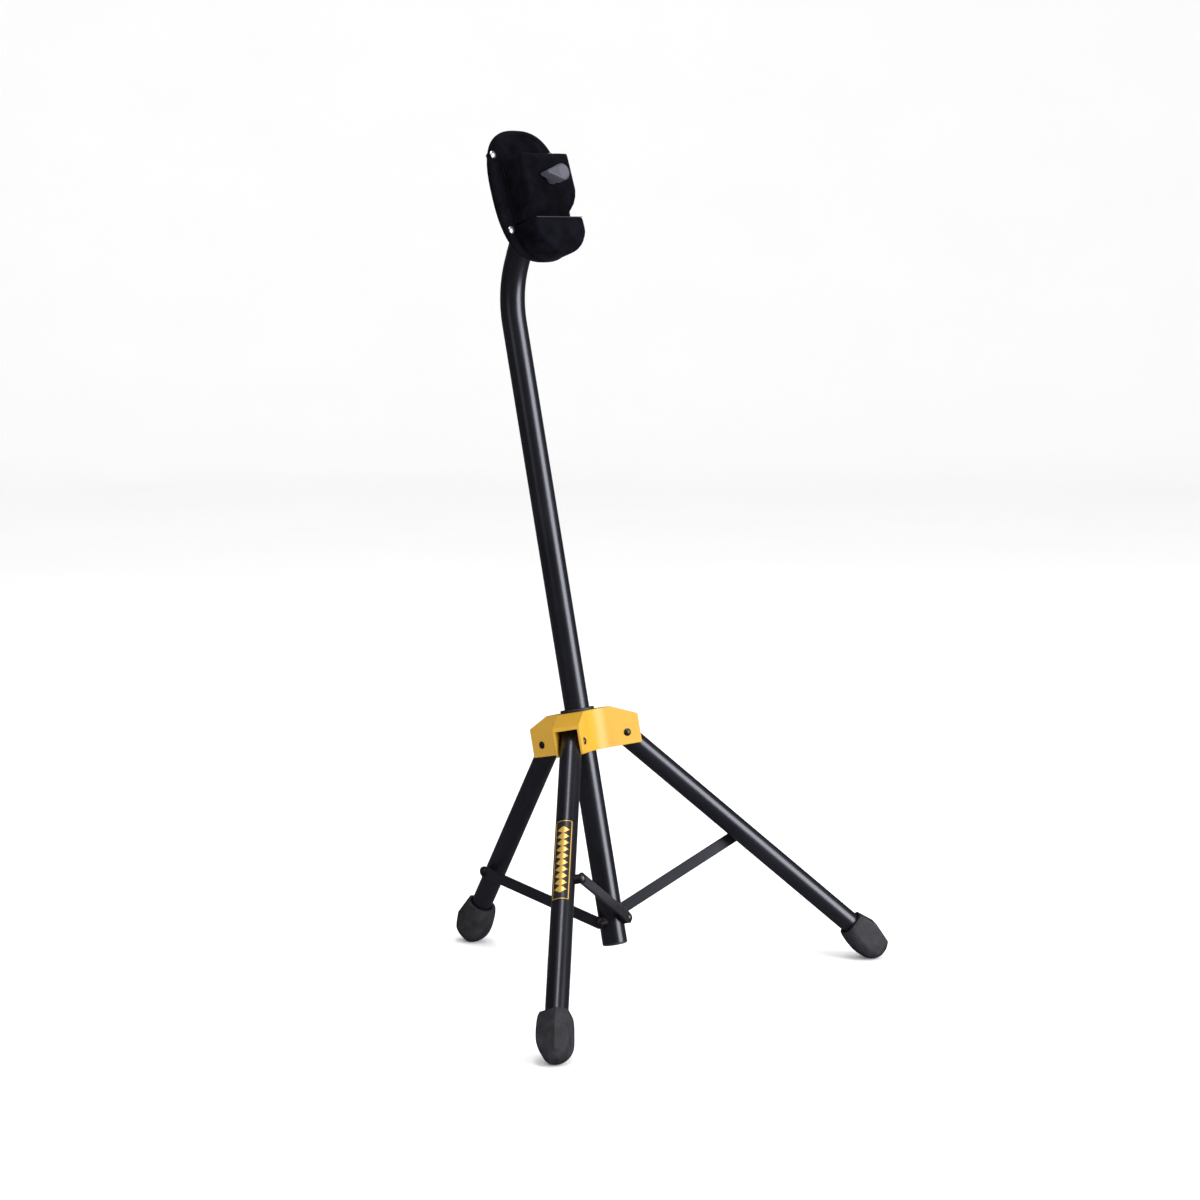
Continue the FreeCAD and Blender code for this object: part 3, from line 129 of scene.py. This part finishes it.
class Nodes:
    """Short calls that make and join the nodes of one material."""

    def __init__(self, name):
        self.material = bpy.data.materials.new(name)
        self.material.use_nodes = True
        self.tree = self.material.node_tree
        self.tree.nodes.clear()
        self.where = self.add("ShaderNodeTexCoord").outputs["Object"]

    def add(self, kind, **settings):
        node = self.tree.nodes.new(kind)
        for key, value in settings.items():
            setattr(node, key, value)
        return node

    def feed(self, socket, value):
        """Joins a node's output to the socket, or sets its plain value."""
        if isinstance(value, bpy.types.NodeSocket):
            self.tree.links.new(value, socket)
        else:
            socket.default_value = value

    def math(self, operation, first, second=0.0, third=0.0):
        node = self.add("ShaderNodeMath", operation=operation)
        for socket, value in zip(node.inputs, (first, second, third)):
            self.feed(socket, value)
        return node.outputs[0]

    def noise(self, scale, detail=3.0, roughness=0.5, where=None):
        node = self.add("ShaderNodeTexNoise")
        self.feed(node.inputs["Vector"], where or self.where)
        self.feed(node.inputs["Scale"], scale)
        self.feed(node.inputs["Detail"], detail)
        self.feed(node.inputs["Roughness"], roughness)
        return node.outputs["Fac"]

    def cells(self, scale, where=None):
        node = self.add("ShaderNodeTexVoronoi")
        self.feed(node.inputs["Vector"], where or self.where)
        self.feed(node.inputs["Scale"], scale)
        return node.outputs["Distance"]

    def spread(self, value, low, high, start=0.0, end=1.0):
        """Maps start..end of a value onto low..high."""
        node = self.add("ShaderNodeMapRange")
        settings = {"Value": value, "From Min": start, "From Max": end, "To Min": low, "To Max": high}
        for key, setting in settings.items():
            self.feed(node.inputs[key], setting)
        return node.outputs["Result"]

    def mix(self, share, first, second):
        node = self.add("ShaderNodeMix", data_type="RGBA")
        self.feed(node.inputs["Factor"], share)
        self.feed(node.inputs["A"], first)
        self.feed(node.inputs["B"], second)
        return node.outputs["Result"]

    def seen_in(self, place):
        """The object's coordinates as seen in a placement, as separate X, Y and Z."""
        inverse = place.inverted()
        mapping = self.add("ShaderNodeMapping")
        self.feed(mapping.inputs["Vector"], self.where)
        self.feed(mapping.inputs["Rotation"], tuple(inverse.to_euler()))
        self.feed(mapping.inputs["Location"], tuple(inverse.translation))
        split = self.add("ShaderNodeSeparateXYZ")
        self.feed(split.inputs[0], mapping.outputs[0])
        return split.outputs

    def bump(self, height, distance, strength=1.0, under=None):
        node = self.add("ShaderNodeBump")
        self.feed(node.inputs["Height"], height)
        self.feed(node.inputs["Distance"], distance)
        self.feed(node.inputs["Strength"], strength)
        if under is not None:
            self.feed(node.inputs["Normal"], under)
        return node.outputs[0]

    def soft_edges(self, radius):
        """Normals that round off the sharp edges."""
        node = self.add("ShaderNodeBevel", samples=4)
        self.feed(node.inputs["Radius"], radius)
        return node.outputs[0]

    def finish(self, **inputs):
        """Ends the material in a principled surface with these inputs."""
        surface = self.add("ShaderNodeBsdfPrincipled")
        for key, value in inputs.items():
            self.feed(surface.inputs[key.replace("_", " ")], value)
        output = self.add("ShaderNodeOutputMaterial")
        self.feed(output.inputs["Surface"], surface.outputs[0])
        return self.material


# ---- finishes -----------------------------------------------------------------------------------------


def powder_coat(name, tone, gloss, edge):
    """Baked-on black: a faint orange peel under a clear gloss, with rubbed patches and dust."""
    n = Nodes(name)
    patches = n.noise(14.0, 4.0)
    colour = n.mix(n.spread(patches, 0.0, 1.0, 0.35, 0.7), (*tone, 1), (*[c * 1.7 for c in tone], 1))
    peel = n.noise(950.0, 2.0)
    grain = n.noise(3200.0, 1.0)
    normal = n.bump(peel, 0.00006, 0.5, n.bump(grain, 0.00002, 0.4, n.soft_edges(edge)))
    return n.finish(
        Base_Color=colour,
        Roughness=n.spread(patches, gloss - 0.04, gloss + 0.08),
        Specular_IOR_Level=0.5,
        Specular_Tint=(0.80, 0.83, 1.0, 1),
        Coat_Weight=0.5,
        Coat_Roughness=0.24,
        Normal=normal,
    )


def yellow_paint():
    """Bright enamel on folded steel: slightly uneven, with darker worn scuffs in patches."""
    n = Nodes("yellow_enamel")
    cloud = n.noise(22.0, 4.0)
    colour = n.mix(n.spread(cloud, 0.0, 1.0, 0.3, 0.75), (0.50, 0.28, 0.014, 1), (0.46, 0.245, 0.012, 1))
    scuffs = n.spread(n.noise(170.0, 5.0, 0.7), 0.0, 0.5, 0.66, 0.72)
    colour = n.mix(scuffs, colour, (0.32, 0.15, 0.012, 1))
    normal = n.bump(n.noise(620.0, 2.0), 0.00008, 0.5, n.soft_edges(0.9 * MM))
    return n.finish(
        Base_Color=colour,
        Roughness=n.spread(cloud, 0.38, 0.5),
        Coat_Weight=0.12,
        Coat_Roughness=0.25,
        Normal=normal,
    )


def metal(name, tone, roughness, scratch=1.0):
    """Bare or plated steel with fine scratches and cloudy roughness."""
    n = Nodes(name)
    cloud = n.noise(260.0, 5.0, 0.65)
    lines = n.noise(2600.0, 2.0)
    colour = n.mix(cloud, (*tone, 1), (*[c * 0.7 for c in tone], 1))
    normal = n.bump(lines, 0.00003, 0.5 * scratch, n.soft_edges(0.3 * MM))
    return n.finish(
        Base_Color=colour,
        Metallic=1.0,
        Roughness=n.spread(cloud, roughness - 0.06, roughness + 0.12),
        Normal=normal,
    )


def moulded_plastic(name, tone, roughness, grain):
    """Injection-moulded plastic with spark-eroded grain."""
    n = Nodes(name)
    cloud = n.noise(60.0, 3.0)
    pits = n.cells(1 / grain)
    colour = n.mix(cloud, (*tone, 1), (*[c * 1.35 for c in tone], 1))
    normal = n.bump(pits, grain * 0.25, 0.45, n.soft_edges(0.5 * MM))
    return n.finish(
        Base_Color=colour,
        Roughness=n.spread(cloud, roughness - 0.05, roughness + 0.08),
        Normal=normal,
    )


def rubber():
    """Moulded rubber: matt, pebbled and a little dusty in patches."""
    n = Nodes("moulded_rubber")
    dust = n.noise(90.0, 6.0, 0.65)
    pebbles = n.cells(620.0)
    colour = n.mix(n.spread(dust, 0.0, 1.0, 0.4, 0.75), (0.011, 0.011, 0.015, 1), (0.026, 0.026, 0.033, 1))
    normal = n.bump(pebbles, 0.00035, 0.5, n.bump(n.noise(2400.0, 2.0), 0.00006, 0.5, n.soft_edges(0.8 * MM)))
    return n.finish(
        Base_Color=colour,
        Roughness=n.spread(dust, 0.52, 0.78),
        Specular_IOR_Level=0.4,
        Normal=normal,
    )


def velvet():
    """Black pile with a blue-violet sheen, brushed into patches."""
    n = Nodes("black_velvet_pile")
    nap = n.noise(75.0, 4.0, 0.6)
    pile = n.noise(5200.0, 2.0, 0.7)
    brushed = n.spread(nap, 0.0, 1.0, 0.35, 0.7)
    colour = n.mix(brushed, (0.0016, 0.0016, 0.0026, 1), (0.0045, 0.0045, 0.0075, 1))
    normal = n.bump(pile, 0.0003, 0.6, n.bump(nap, 0.0012, 0.35))
    return n.finish(
        Base_Color=colour,
        Roughness=0.95,
        Specular_IOR_Level=0.03,
        Sheen_Weight=n.spread(nap, 0.008, 0.036),
        Sheen_Roughness=0.42,
        Sheen_Tint=(0.55, 0.55, 0.85, 1),
        Normal=normal,
    )


def cord():
    """Twisted grey thread, its colour banded with painted shade in the grooves between the strands and
    painted light on their crowns.
    """
    n = Nodes("piping_cord")
    seen = n.seen_in(HEAD)
    slant = n.math("ADD", seen["X"], n.math("MULTIPLY", seen["Z"], 0.8))
    lay = 1.4 * MM
    twist = n.math("SINE", n.math("MULTIPLY", slant, 2 * math.pi / lay))
    # painted shade: the colour darkens in the grooves of the twist and lightens on the strands' crowns
    painted_groove_shade = n.spread(twist, 0.0, 1.0, -1.0, 1.0)
    return n.finish(
        Base_Color=n.mix(painted_groove_shade, (0.020, 0.020, 0.024, 1), (0.036, 0.036, 0.042, 1)),
        Roughness=n.spread(n.noise(800.0), 0.7, 0.9),
        Normal=n.bump(twist, 0.0003, 0.8),
    )


def badge():
    """A black plate with a gold border and a row of plain gold lozenges."""
    n = Nodes("gold_badge")
    place = leg_frame("front_left")
    low, high = span("leg_badge", place)
    turn = math.atan2(low.y + high.y, 2 * high.x)
    place = place @ Matrix.Rotation(turn, 4, "Z")
    low, high = span("leg_badge", place)
    seen = n.seen_in(place)
    length = high.z - low.z
    half = (high.y - low.y) / 2
    along = n.math("SUBTRACT", seen["Z"], low.z)
    across = n.math("ABSOLUTE", seen["Y"])
    to_side = n.math("SUBTRACT", half, across)
    to_end = n.math("MINIMUM", along, n.math("SUBTRACT", length, along))
    to_edge = n.math("MINIMUM", to_side, to_end)
    border_outer = 0.5 * MM
    border_inner = 1.1 * MM
    border = n.math(
        "MULTIPLY",
        n.math("GREATER_THAN", to_edge, border_outer),
        n.math("LESS_THAN", to_edge, border_inner),
    )
    pitch = length / 12
    phase = n.math("ABSOLUTE", n.math("SUBTRACT", n.math("FRACT", n.math("DIVIDE", along, pitch)), 0.5))
    slant = n.math("ADD", n.math("DIVIDE", across, half * 0.72), n.math("DIVIDE", phase, 0.56))
    lozenge = n.math("MULTIPLY", n.math("LESS_THAN", slant, 1.0), n.math("GREATER_THAN", to_end, pitch))
    gold = n.math("MAXIMUM", border, lozenge)
    rub = n.noise(900.0, 3.0)
    foil = n.mix(rub, (0.95, 0.62, 0.16, 1), (0.75, 0.44, 0.1, 1))
    return n.finish(
        Base_Color=n.mix(gold, (0.012, 0.011, 0.012, 1), foil),
        Metallic=n.math("MULTIPLY", gold, 0.65),
        Roughness=n.spread(rub, 0.28, 0.42),
        Normal=n.bump(n.math("ADD", gold, n.math("MULTIPLY", rub, 0.1)), 0.00012, 0.8),
    )


def knob_cap():
    """The wing knob's end disc: turned rings in grey plastic, with painted shade in the grooves between the
    rings.
    """
    n = Nodes("knob_cap_rings")
    low, high = span("wing_knob_cap", HEAD)
    centre = HEAD @ ((low + high) / 2)
    seen = n.seen_in(axes(*[HEAD.to_3x3().col[axis] for axis in range(3)], centre))
    out = n.math("SQRT", n.math("ADD", n.math("POWER", seen["X"], 2.0), n.math("POWER", seen["Z"], 2.0)))
    pitch = 1.1 * MM
    rings = n.math("SINE", n.math("MULTIPLY", out, 2 * math.pi / pitch))
    # painted shade: the rings' colour darkens in their grooves and lightens on their ridges
    painted_groove_shade = n.spread(rings, 0.0, 1.0, -1.0, 1.0)
    return n.finish(
        Base_Color=n.mix(painted_groove_shade, (0.055, 0.055, 0.07, 1), (0.10, 0.10, 0.125, 1)),
        Roughness=n.spread(n.noise(300.0), 0.4, 0.55),
        Normal=n.bump(rings, 0.0003, 0.6),
    )


def finishes():
    """One material for each of the record's slots."""
    return {
        "black_powder_coat": powder_coat("gloss_powder_coat", (0.0035, 0.0035, 0.0055), 0.3, 0.4 * MM),
        "plate_paint": powder_coat("satin_powder_coat", (0.008, 0.008, 0.010), 0.45, 0.3 * MM),
        "yellow_paint": yellow_paint(),
        "bare_steel": metal("zinc_steel", (0.55, 0.55, 0.57), 0.35),
        "dark_steel": metal("blackened_steel", (0.10, 0.08, 0.075), 0.36),
        "silver_rivet": metal("nickel", (0.90, 0.90, 0.92), 0.36, 0.5),
        "brass": metal("turned_brass", (0.72, 0.52, 0.25), 0.28),
        "black_plastic": moulded_plastic("black_moulding", (0.012, 0.012, 0.014), 0.5, 0.5 * MM),
        "knob_plastic": moulded_plastic("grey_moulding", (0.042, 0.042, 0.055), 0.42, 0.4 * MM),
        "black_rubber": rubber(),
        "black_velvet": velvet(),
        "gold_foil": badge(),
    }


def dress(obj, material):
    obj.data.materials.clear()
    obj.data.materials.append(material)


def dress_nodes(finish):
    """Gives every CAD node its slot's material."""
    for entry in frame["record"]["subparts"]:
        dress(NODES[entry["node"]], finish[entry["material_slot"]])
    dress(NODES["wing_knob_cap"], knob_cap())


# ---- velvet -------------------------------------------------------------------------------------------


def new_object(name, mesh):
    made = bpy.data.objects.new(name, mesh)
    SCENE.collection.objects.link(made)
    return made


def object_from(name, made):
    """A new object with what was made in a bmesh."""
    mesh = bpy.data.meshes.new(name)
    made.to_mesh(mesh)
    made.free()
    return new_object(name, mesh)


def loft(made, rings):
    """Adds a closed skin through rings of corners given in the head's frame, and returns its faces."""
    rows = [[made.verts.new(HEAD @ Vector(spot)) for spot in ring] for ring in rings]
    faces = [made.faces.new(rows[0]), made.faces.new(list(reversed(rows[-1])))]
    for first, second in zip(rows, rows[1:]):
        for step in range(len(first)):
            following = (step + 1) % len(first)
            faces.append(made.faces.new((first[step], second[step], second[following], first[following])))
    bmesh.ops.recalc_face_normals(made, faces=faces)
    return faces


def bake(obj):
    """Turns an object's modifiers into its own mesh."""
    graph = bpy.context.evaluated_depsgraph_get()
    mesh = bpy.data.meshes.new_from_object(obj.evaluated_get(graph))
    obj.modifiers.clear()
    old = obj.data
    obj.data = mesh
    bpy.data.meshes.remove(old)


def subdivide(obj, levels=1):
    obj.modifiers.new("subdivision", "SUBSURF").levels = levels
    bake(obj)
    for face in obj.data.polygons:
        face.use_smooth = True


def outer_skin(name, cover, core, voxel):
    """An even, closed surface along a cover's outside, laid out square to the head."""
    made = bmesh.new()
    made.from_mesh(NODES[core].data)
    inside = BVHTree.FromBMesh(made)
    made.free()
    made = bmesh.new()
    made.from_mesh(NODES[cover].data)
    bmesh.ops.remove_doubles(made, verts=made.verts, dist=0.01 * MM)
    lining = [face for face in made.faces if inside.find_nearest(face.calc_center_median())[3] < 0.1 * MM]
    bmesh.ops.delete(made, geom=lining, context="FACES")
    bmesh.ops.holes_fill(made, edges=[edge for edge in made.edges if edge.is_boundary], sides=0)
    bmesh.ops.recalc_face_normals(made, faces=made.faces)
    made.transform(HEAD.inverted())
    obj = object_from(name, made)
    remesh = obj.modifiers.new("even", "REMESH")
    remesh.mode = "VOXEL"
    remesh.voxel_size = voxel
    bake(obj)
    obj.data.transform(HEAD)
    return obj


def relax(obj, held, pressure, cap):
    """Lets cloth puff out and settle, then keeps each point within cap of where it started."""
    last_frame = 20
    pins = obj.vertex_groups.new(name="held")
    for corner in obj.data.vertices:
        pins.add([corner.index], held(corner.co), "REPLACE")
    cloth = obj.modifiers.new("cloth", "CLOTH")
    cloth.settings.quality = 5
    cloth.settings.mass = 0.05
    cloth.settings.tension_stiffness = 20
    cloth.settings.compression_stiffness = 20
    cloth.settings.shear_stiffness = 8
    cloth.settings.bending_stiffness = 0.3
    cloth.settings.use_pressure = True
    cloth.settings.uniform_pressure_force = pressure
    cloth.settings.vertex_group_mass = "held"
    cloth.settings.effector_weights.gravity = 0
    cloth.collision_settings.use_collision = False
    cloth.point_cache.frame_start = 1
    cloth.point_cache.frame_end = last_frame
    for number in range(1, last_frame + 1):
        SCENE.frame_set(number)
    settled = obj.evaluated_get(bpy.context.evaluated_depsgraph_get()).data
    moves = [after.co - before.co for after, before in zip(settled.vertices, obj.data.vertices)]
    obj.modifiers.remove(cloth)
    for corner, move in zip(obj.data.vertices, moves):
        corner.co += move * (min(1.0, cap / move.length) if move.length > 0 else 1.0)
    obj.vertex_groups.clear()
    SCENE.frame_set(1)


def soften(obj, rounds):
    """Rounds the edges that the even mesh left stepped."""
    smooth = obj.modifiers.new("soften", "SMOOTH")
    smooth.factor = 0.5
    smooth.iterations = rounds
    bake(obj)


def velvet_cover(name, cover, core, body, material):
    """Velvet drawn over a moulded core: tight at the back, slightly padded on its faces."""
    obj = outer_skin(name, cover, core, voxel=1.5 * MM)
    soften(obj, rounds=6)
    inverse = HEAD.inverted()
    glued_behind = -2.5 * MM
    relax(obj, lambda spot: 1.0 if (inverse @ spot).y > glued_behind else 0.0, pressure=4.0, cap=0.7 * MM)
    soften(obj, rounds=4)
    subdivide(obj)
    dress(obj, material)
    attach(obj, body)
    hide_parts(cover)
    return obj


def oval_point(width, height, angle, inset, power=2.6):
    """A point of the rest's oval outline, drawn in by inset."""
    across, up = math.cos(angle), math.sin(angle)
    return (
        (width - inset) * math.copysign(abs(across) ** (2 / power), across),
        (height - inset) * math.copysign(abs(up) ** (2 / power), up),
    )


def pad_section(depth, back, rim):
    """(inset, back) round the pad's section: its front, the roll over the plate's rim, and its lining."""
    front = [(rim - step * 2 * MM, 0.0) for step in range(int((rim - 8 * MM) / (2 * MM)))]
    roll = [
        (7.4 * MM, 0.05 * MM),
        (6.4 * MM, 0.55 * MM),
        (5.4 * MM, 0.1 * MM),
        (4.2 * MM, -0.4 * MM),
        (2.6 * MM, -0.45 * MM),
        (1.1 * MM, 0.0),
        (0.1 * MM, 1.1 * MM),
        (-0.15 * MM, depth),
        (0.1 * MM, back - 0.2 * MM),
        (0.9 * MM, back + 0.35 * MM),
        (3.0 * MM, back + 0.5 * MM),
        (4.6 * MM, back + 0.3 * MM),
    ]
    lining = [(4.4 * MM, back + 0.04 * MM), (0.85 * MM, back + 0.04 * MM), (0.85 * MM, depth - 0.04 * MM)]
    return front + roll + lining


def rest_pad(material):
    """The velvet pad: one piece rolled over the plate's rim and held down by the rivets."""
    high = span("rest_pad", HEAD)[1]
    back = span("rest_plate", HEAD)[1].y
    width, height, depth = high.x, high.z, high.y
    steps = 144
    angles = [2 * math.pi * step / steps for step in range(steps)]
    rings = []
    for inset, level in pad_section(depth, back, width - 2 * MM):
        outline = [oval_point(width, height, angle, inset) for angle in angles]
        rings.append([(across, level, up) for across, up in outline])
    made = bmesh.new()
    loft(made, rings)
    obj = object_from("velvet_rest_pad", made)
    rivets = rivet_spots()
    inverse = HEAD.inverted()

    def held(spot):
        seen = inverse @ spot
        by_rivet = min((Vector((seen.x, seen.z)) - rivet).length for rivet in rivets) < 5 * MM
        return 1.0 if by_rivet or abs(seen.y) > 0.02 * MM else 0.0

    relax(obj, held, pressure=3.0, cap=0.9 * MM)
    sink_at_rivets(obj, rivets)
    subdivide(obj)
    cut_slot(obj)
    dress(obj, material)
    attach(obj, "mast")
    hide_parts("rest_pad")


def cut_slot(pad):
    """Cuts the slot that the clamp's bolt slides in, which the block always covers."""
    low, high = span("clamp_bolt", HEAD)
    start = (low.z + high.z) / 2
    travel = JOINTS["rest_block_slide"]["range_m"][1]
    half = 3.6 * MM
    reach = 10 * MM
    outline = []
    for step in range(25):
        angle = math.pi * step / 24
        outline.append((half * math.cos(angle), start + travel + half * math.sin(angle)))
    outline += [(-across, 2 * start + travel - up) for across, up in outline]
    made = bmesh.new()
    loft(made, [[(across, deep, up) for across, up in outline] for deep in (-reach, reach)])
    cutter = object_from("slot_cutter", made)
    cut = pad.modifiers.new("slot", "BOOLEAN")
    cut.operation = "DIFFERENCE"
    cut.solver = "EXACT"
    cut.object = cutter
    bake(pad)
    bpy.data.objects.remove(cutter)


def middle_of(points):
    """The middle of the points' extent."""
    directions = range(len(points[0]))
    low = Vector([min(point[axis] for point in points) for axis in directions])
    high = Vector([max(point[axis] for point in points) for axis in directions])
    return (low + high) / 2


def rivet_spots():
    """Where the plate's rivets are, across and up the rest: one in each quarter."""
    inverse = HEAD.inverted()
    quarters = {}
    for corner in NODES["rest_plate_rivets"].data.vertices:
        seen = inverse @ corner.co
        quarters.setdefault((seen.x > 0, seen.z > 0), []).append(Vector((seen.x, seen.z)))
    return [middle_of(points) for points in quarters.values()]


def sink_at_rivets(obj, rivets):
    """Presses the velvet flat under each rivet's head."""
    dimple = 7 * MM
    depth = 0.15 * MM
    inverse = HEAD.inverted()
    back = HEAD.to_3x3().col[1]
    for corner in obj.data.vertices:
        seen = inverse @ corner.co
        near = min((Vector((seen.x, seen.z)) - rivet).length for rivet in rivets)
        share = max(0.0, 1 - near / dimple)
        if seen.y < 1 * MM:
            corner.co += back * (depth - seen.y) * min(1.0, share * 2.2)


def piping(cover, material):
    """A grey cord sewn along the upper front edge of the lip's velvet, part of its cover."""
    low, high = span("lip_cover", HEAD)
    radius = 0.45 * MM
    deep = low.y + 0.7 * MM
    up = high.z - 0.6 * MM
    stations = [(high.x - 1.4 * MM, 0.3), (high.x - 1.9 * MM, 0.8), (high.x - 2.6 * MM, 1.0)]
    stations += [(-across, share) for across, share in reversed(stations)]
    turns = [(math.cos(2 * math.pi * step / 12), math.sin(2 * math.pi * step / 12)) for step in range(12)]
    rings = []
    for across, share in stations:
        size = radius * share
        rings.append([(across, deep + size * turn[0], up + size * turn[1]) for turn in turns])
    made = bmesh.new()
    made.from_mesh(cover.data)
    for face in loft(made, rings):
        face.material_index = 1
        face.smooth = True
    made.to_mesh(cover.data)
    made.free()
    cover.data.materials.append(material)


def soft_goods(finish):
    pile = finish["black_velvet"]
    rest_pad(pile)
    velvet_cover("velvet_block_cover", "block_cover", "block_core", "rest_block", pile)
    lip = velvet_cover("velvet_lip_cover", "lip_cover", "lip_core", "mast", pile)
    piping(lip, cord())


# ---- floor, light and camera --------------------------------------------------------------------------


def floor():
    """A pale sweep that runs up behind the stand. Glossy parts see it darker, so that black stays black."""
    low, high = START
    tall = high.z - low.z
    reach = 12 * tall
    curve = 3 * tall
    half_width = 1.5 * reach
    heading = math.radians(VIEW_AZIMUTH)
    away = Vector((-math.sin(heading), math.cos(heading), 0))
    side = Vector((away.y, -away.x, 0))
    path = [(-reach, 0.0), (reach / 2, 0.0)]
    path += [
        (reach / 2 + curve * math.sin(math.radians(angle)), curve * (1 - math.cos(math.radians(angle))))
        for angle in range(5, 91, 5)
    ]
    path.append((reach / 2 + curve, reach))
    made = bmesh.new()
    rows = []
    for along, up in path:
        middle = away * along + Vector((0, 0, up + low.z))
        rows.append([made.verts.new(middle + side * across) for across in (-half_width, half_width)])
    for first, second in zip(rows, rows[1:]):
        made.faces.new((first[0], first[1], second[1], second[0])).smooth = True
    obj = object_from("floor", made)
    n = Nodes("pale_floor")
    mottle = n.noise(3.0, 3.0)
    pale = n.mix(mottle, (0.93, 0.93, 0.93, 1), (0.96, 0.96, 0.96, 1))
    mirrored = n.add("ShaderNodeLightPath").outputs["Is Glossy Ray"]
    dress(
        obj,
        n.finish(
            Base_Color=n.mix(mirrored, pale, (0.06, 0.06, 0.068, 1)),
            Roughness=n.spread(mottle, 0.85, 0.95),
            Specular_IOR_Level=0.1,
        ),
    )


def world():
    """White for the camera, a dim grey in reflections, so that black parts stay black."""
    SCENE.world = bpy.data.worlds.new("studio")
    SCENE.world.use_nodes = True
    tree = SCENE.world.node_tree
    background = tree.nodes["Background"]
    paths = tree.nodes.new("ShaderNodeLightPath")
    strength = tree.nodes.new("ShaderNodeMapRange")
    strength.inputs["To Min"].default_value = 1.0
    strength.inputs["To Max"].default_value = 0.05
    tree.links.new(paths.outputs["Is Glossy Ray"], strength.inputs["Value"])
    tree.links.new(strength.outputs["Result"], background.inputs["Strength"])
    background.inputs["Color"].default_value = (1, 1, 1, 1)


def softbox(name, azimuth, elevation, distance, size, power):
    """A rectangular light that faces the stand's middle. Its azimuth starts at the view's direction, and its
    distance and size are shares of the stand's height."""
    low, high = START
    middle = (low + high) / 2
    tall = high.z - low.z
    turn = math.radians(VIEW_AZIMUTH + azimuth)
    climb = math.radians(elevation)
    out = Vector((math.sin(turn) * math.cos(climb), -math.cos(turn) * math.cos(climb), math.sin(climb)))
    data = bpy.data.lights.new(name, "AREA")
    data.shape = "RECTANGLE"
    data.size = size[0] * tall
    data.size_y = size[1] * tall
    data.energy = power
    lamp = new_object(name, data)
    lamp.location = middle + out * distance * tall
    lamp.rotation_euler = (-out).to_track_quat("-Z", "Y").to_euler()


VIEW_AZIMUTH = -47.0
VIEW_ELEVATION = 8.0
VIEW_LENS = 76.8
# shares of the stand's height
VIEW_DISTANCE = 3.015
TARGET_HEIGHT = 0.4515
TARGET_RIGHT = 0.0089


def camera():
    """The view from the stand's front left, slightly above it."""
    low, high = START
    tall = high.z - low.z
    turn = math.radians(VIEW_AZIMUTH)
    climb = math.radians(VIEW_ELEVATION)
    out = Vector((math.sin(turn) * math.cos(climb), -math.cos(turn) * math.cos(climb), math.sin(climb)))
    right = Vector((math.cos(turn), math.sin(turn), 0))
    target = Vector((0, 0, low.z + TARGET_HEIGHT * tall)) + right * TARGET_RIGHT * tall
    data = bpy.data.cameras.new("view")
    data.sensor_width = 36
    data.lens = VIEW_LENS
    eye = new_object("view", data)
    eye.location = target + out * VIEW_DISTANCE * tall
    eye.rotation_euler = (-out).to_track_quat("-Z", "Y").to_euler()
    SCENE.camera = eye


def studio():
    SCENE.view_settings.view_transform = "Standard"
    floor()
    world()
    softbox("key", azimuth=62, elevation=14, distance=2.6, size=(1.6, 2.4), power=52)
    softbox("fill", azimuth=-42, elevation=24, distance=2.8, size=(0.9, 1.8), power=2.5)
    softbox("top", azimuth=4, elevation=84, distance=2.4, size=(0.6, 2.0), power=14)
    camera()


# ---- build --------------------------------------------------------------------------------------------


FINISH = finishes()
dress_nodes(FINISH)
soft_goods(FINISH)
studio()
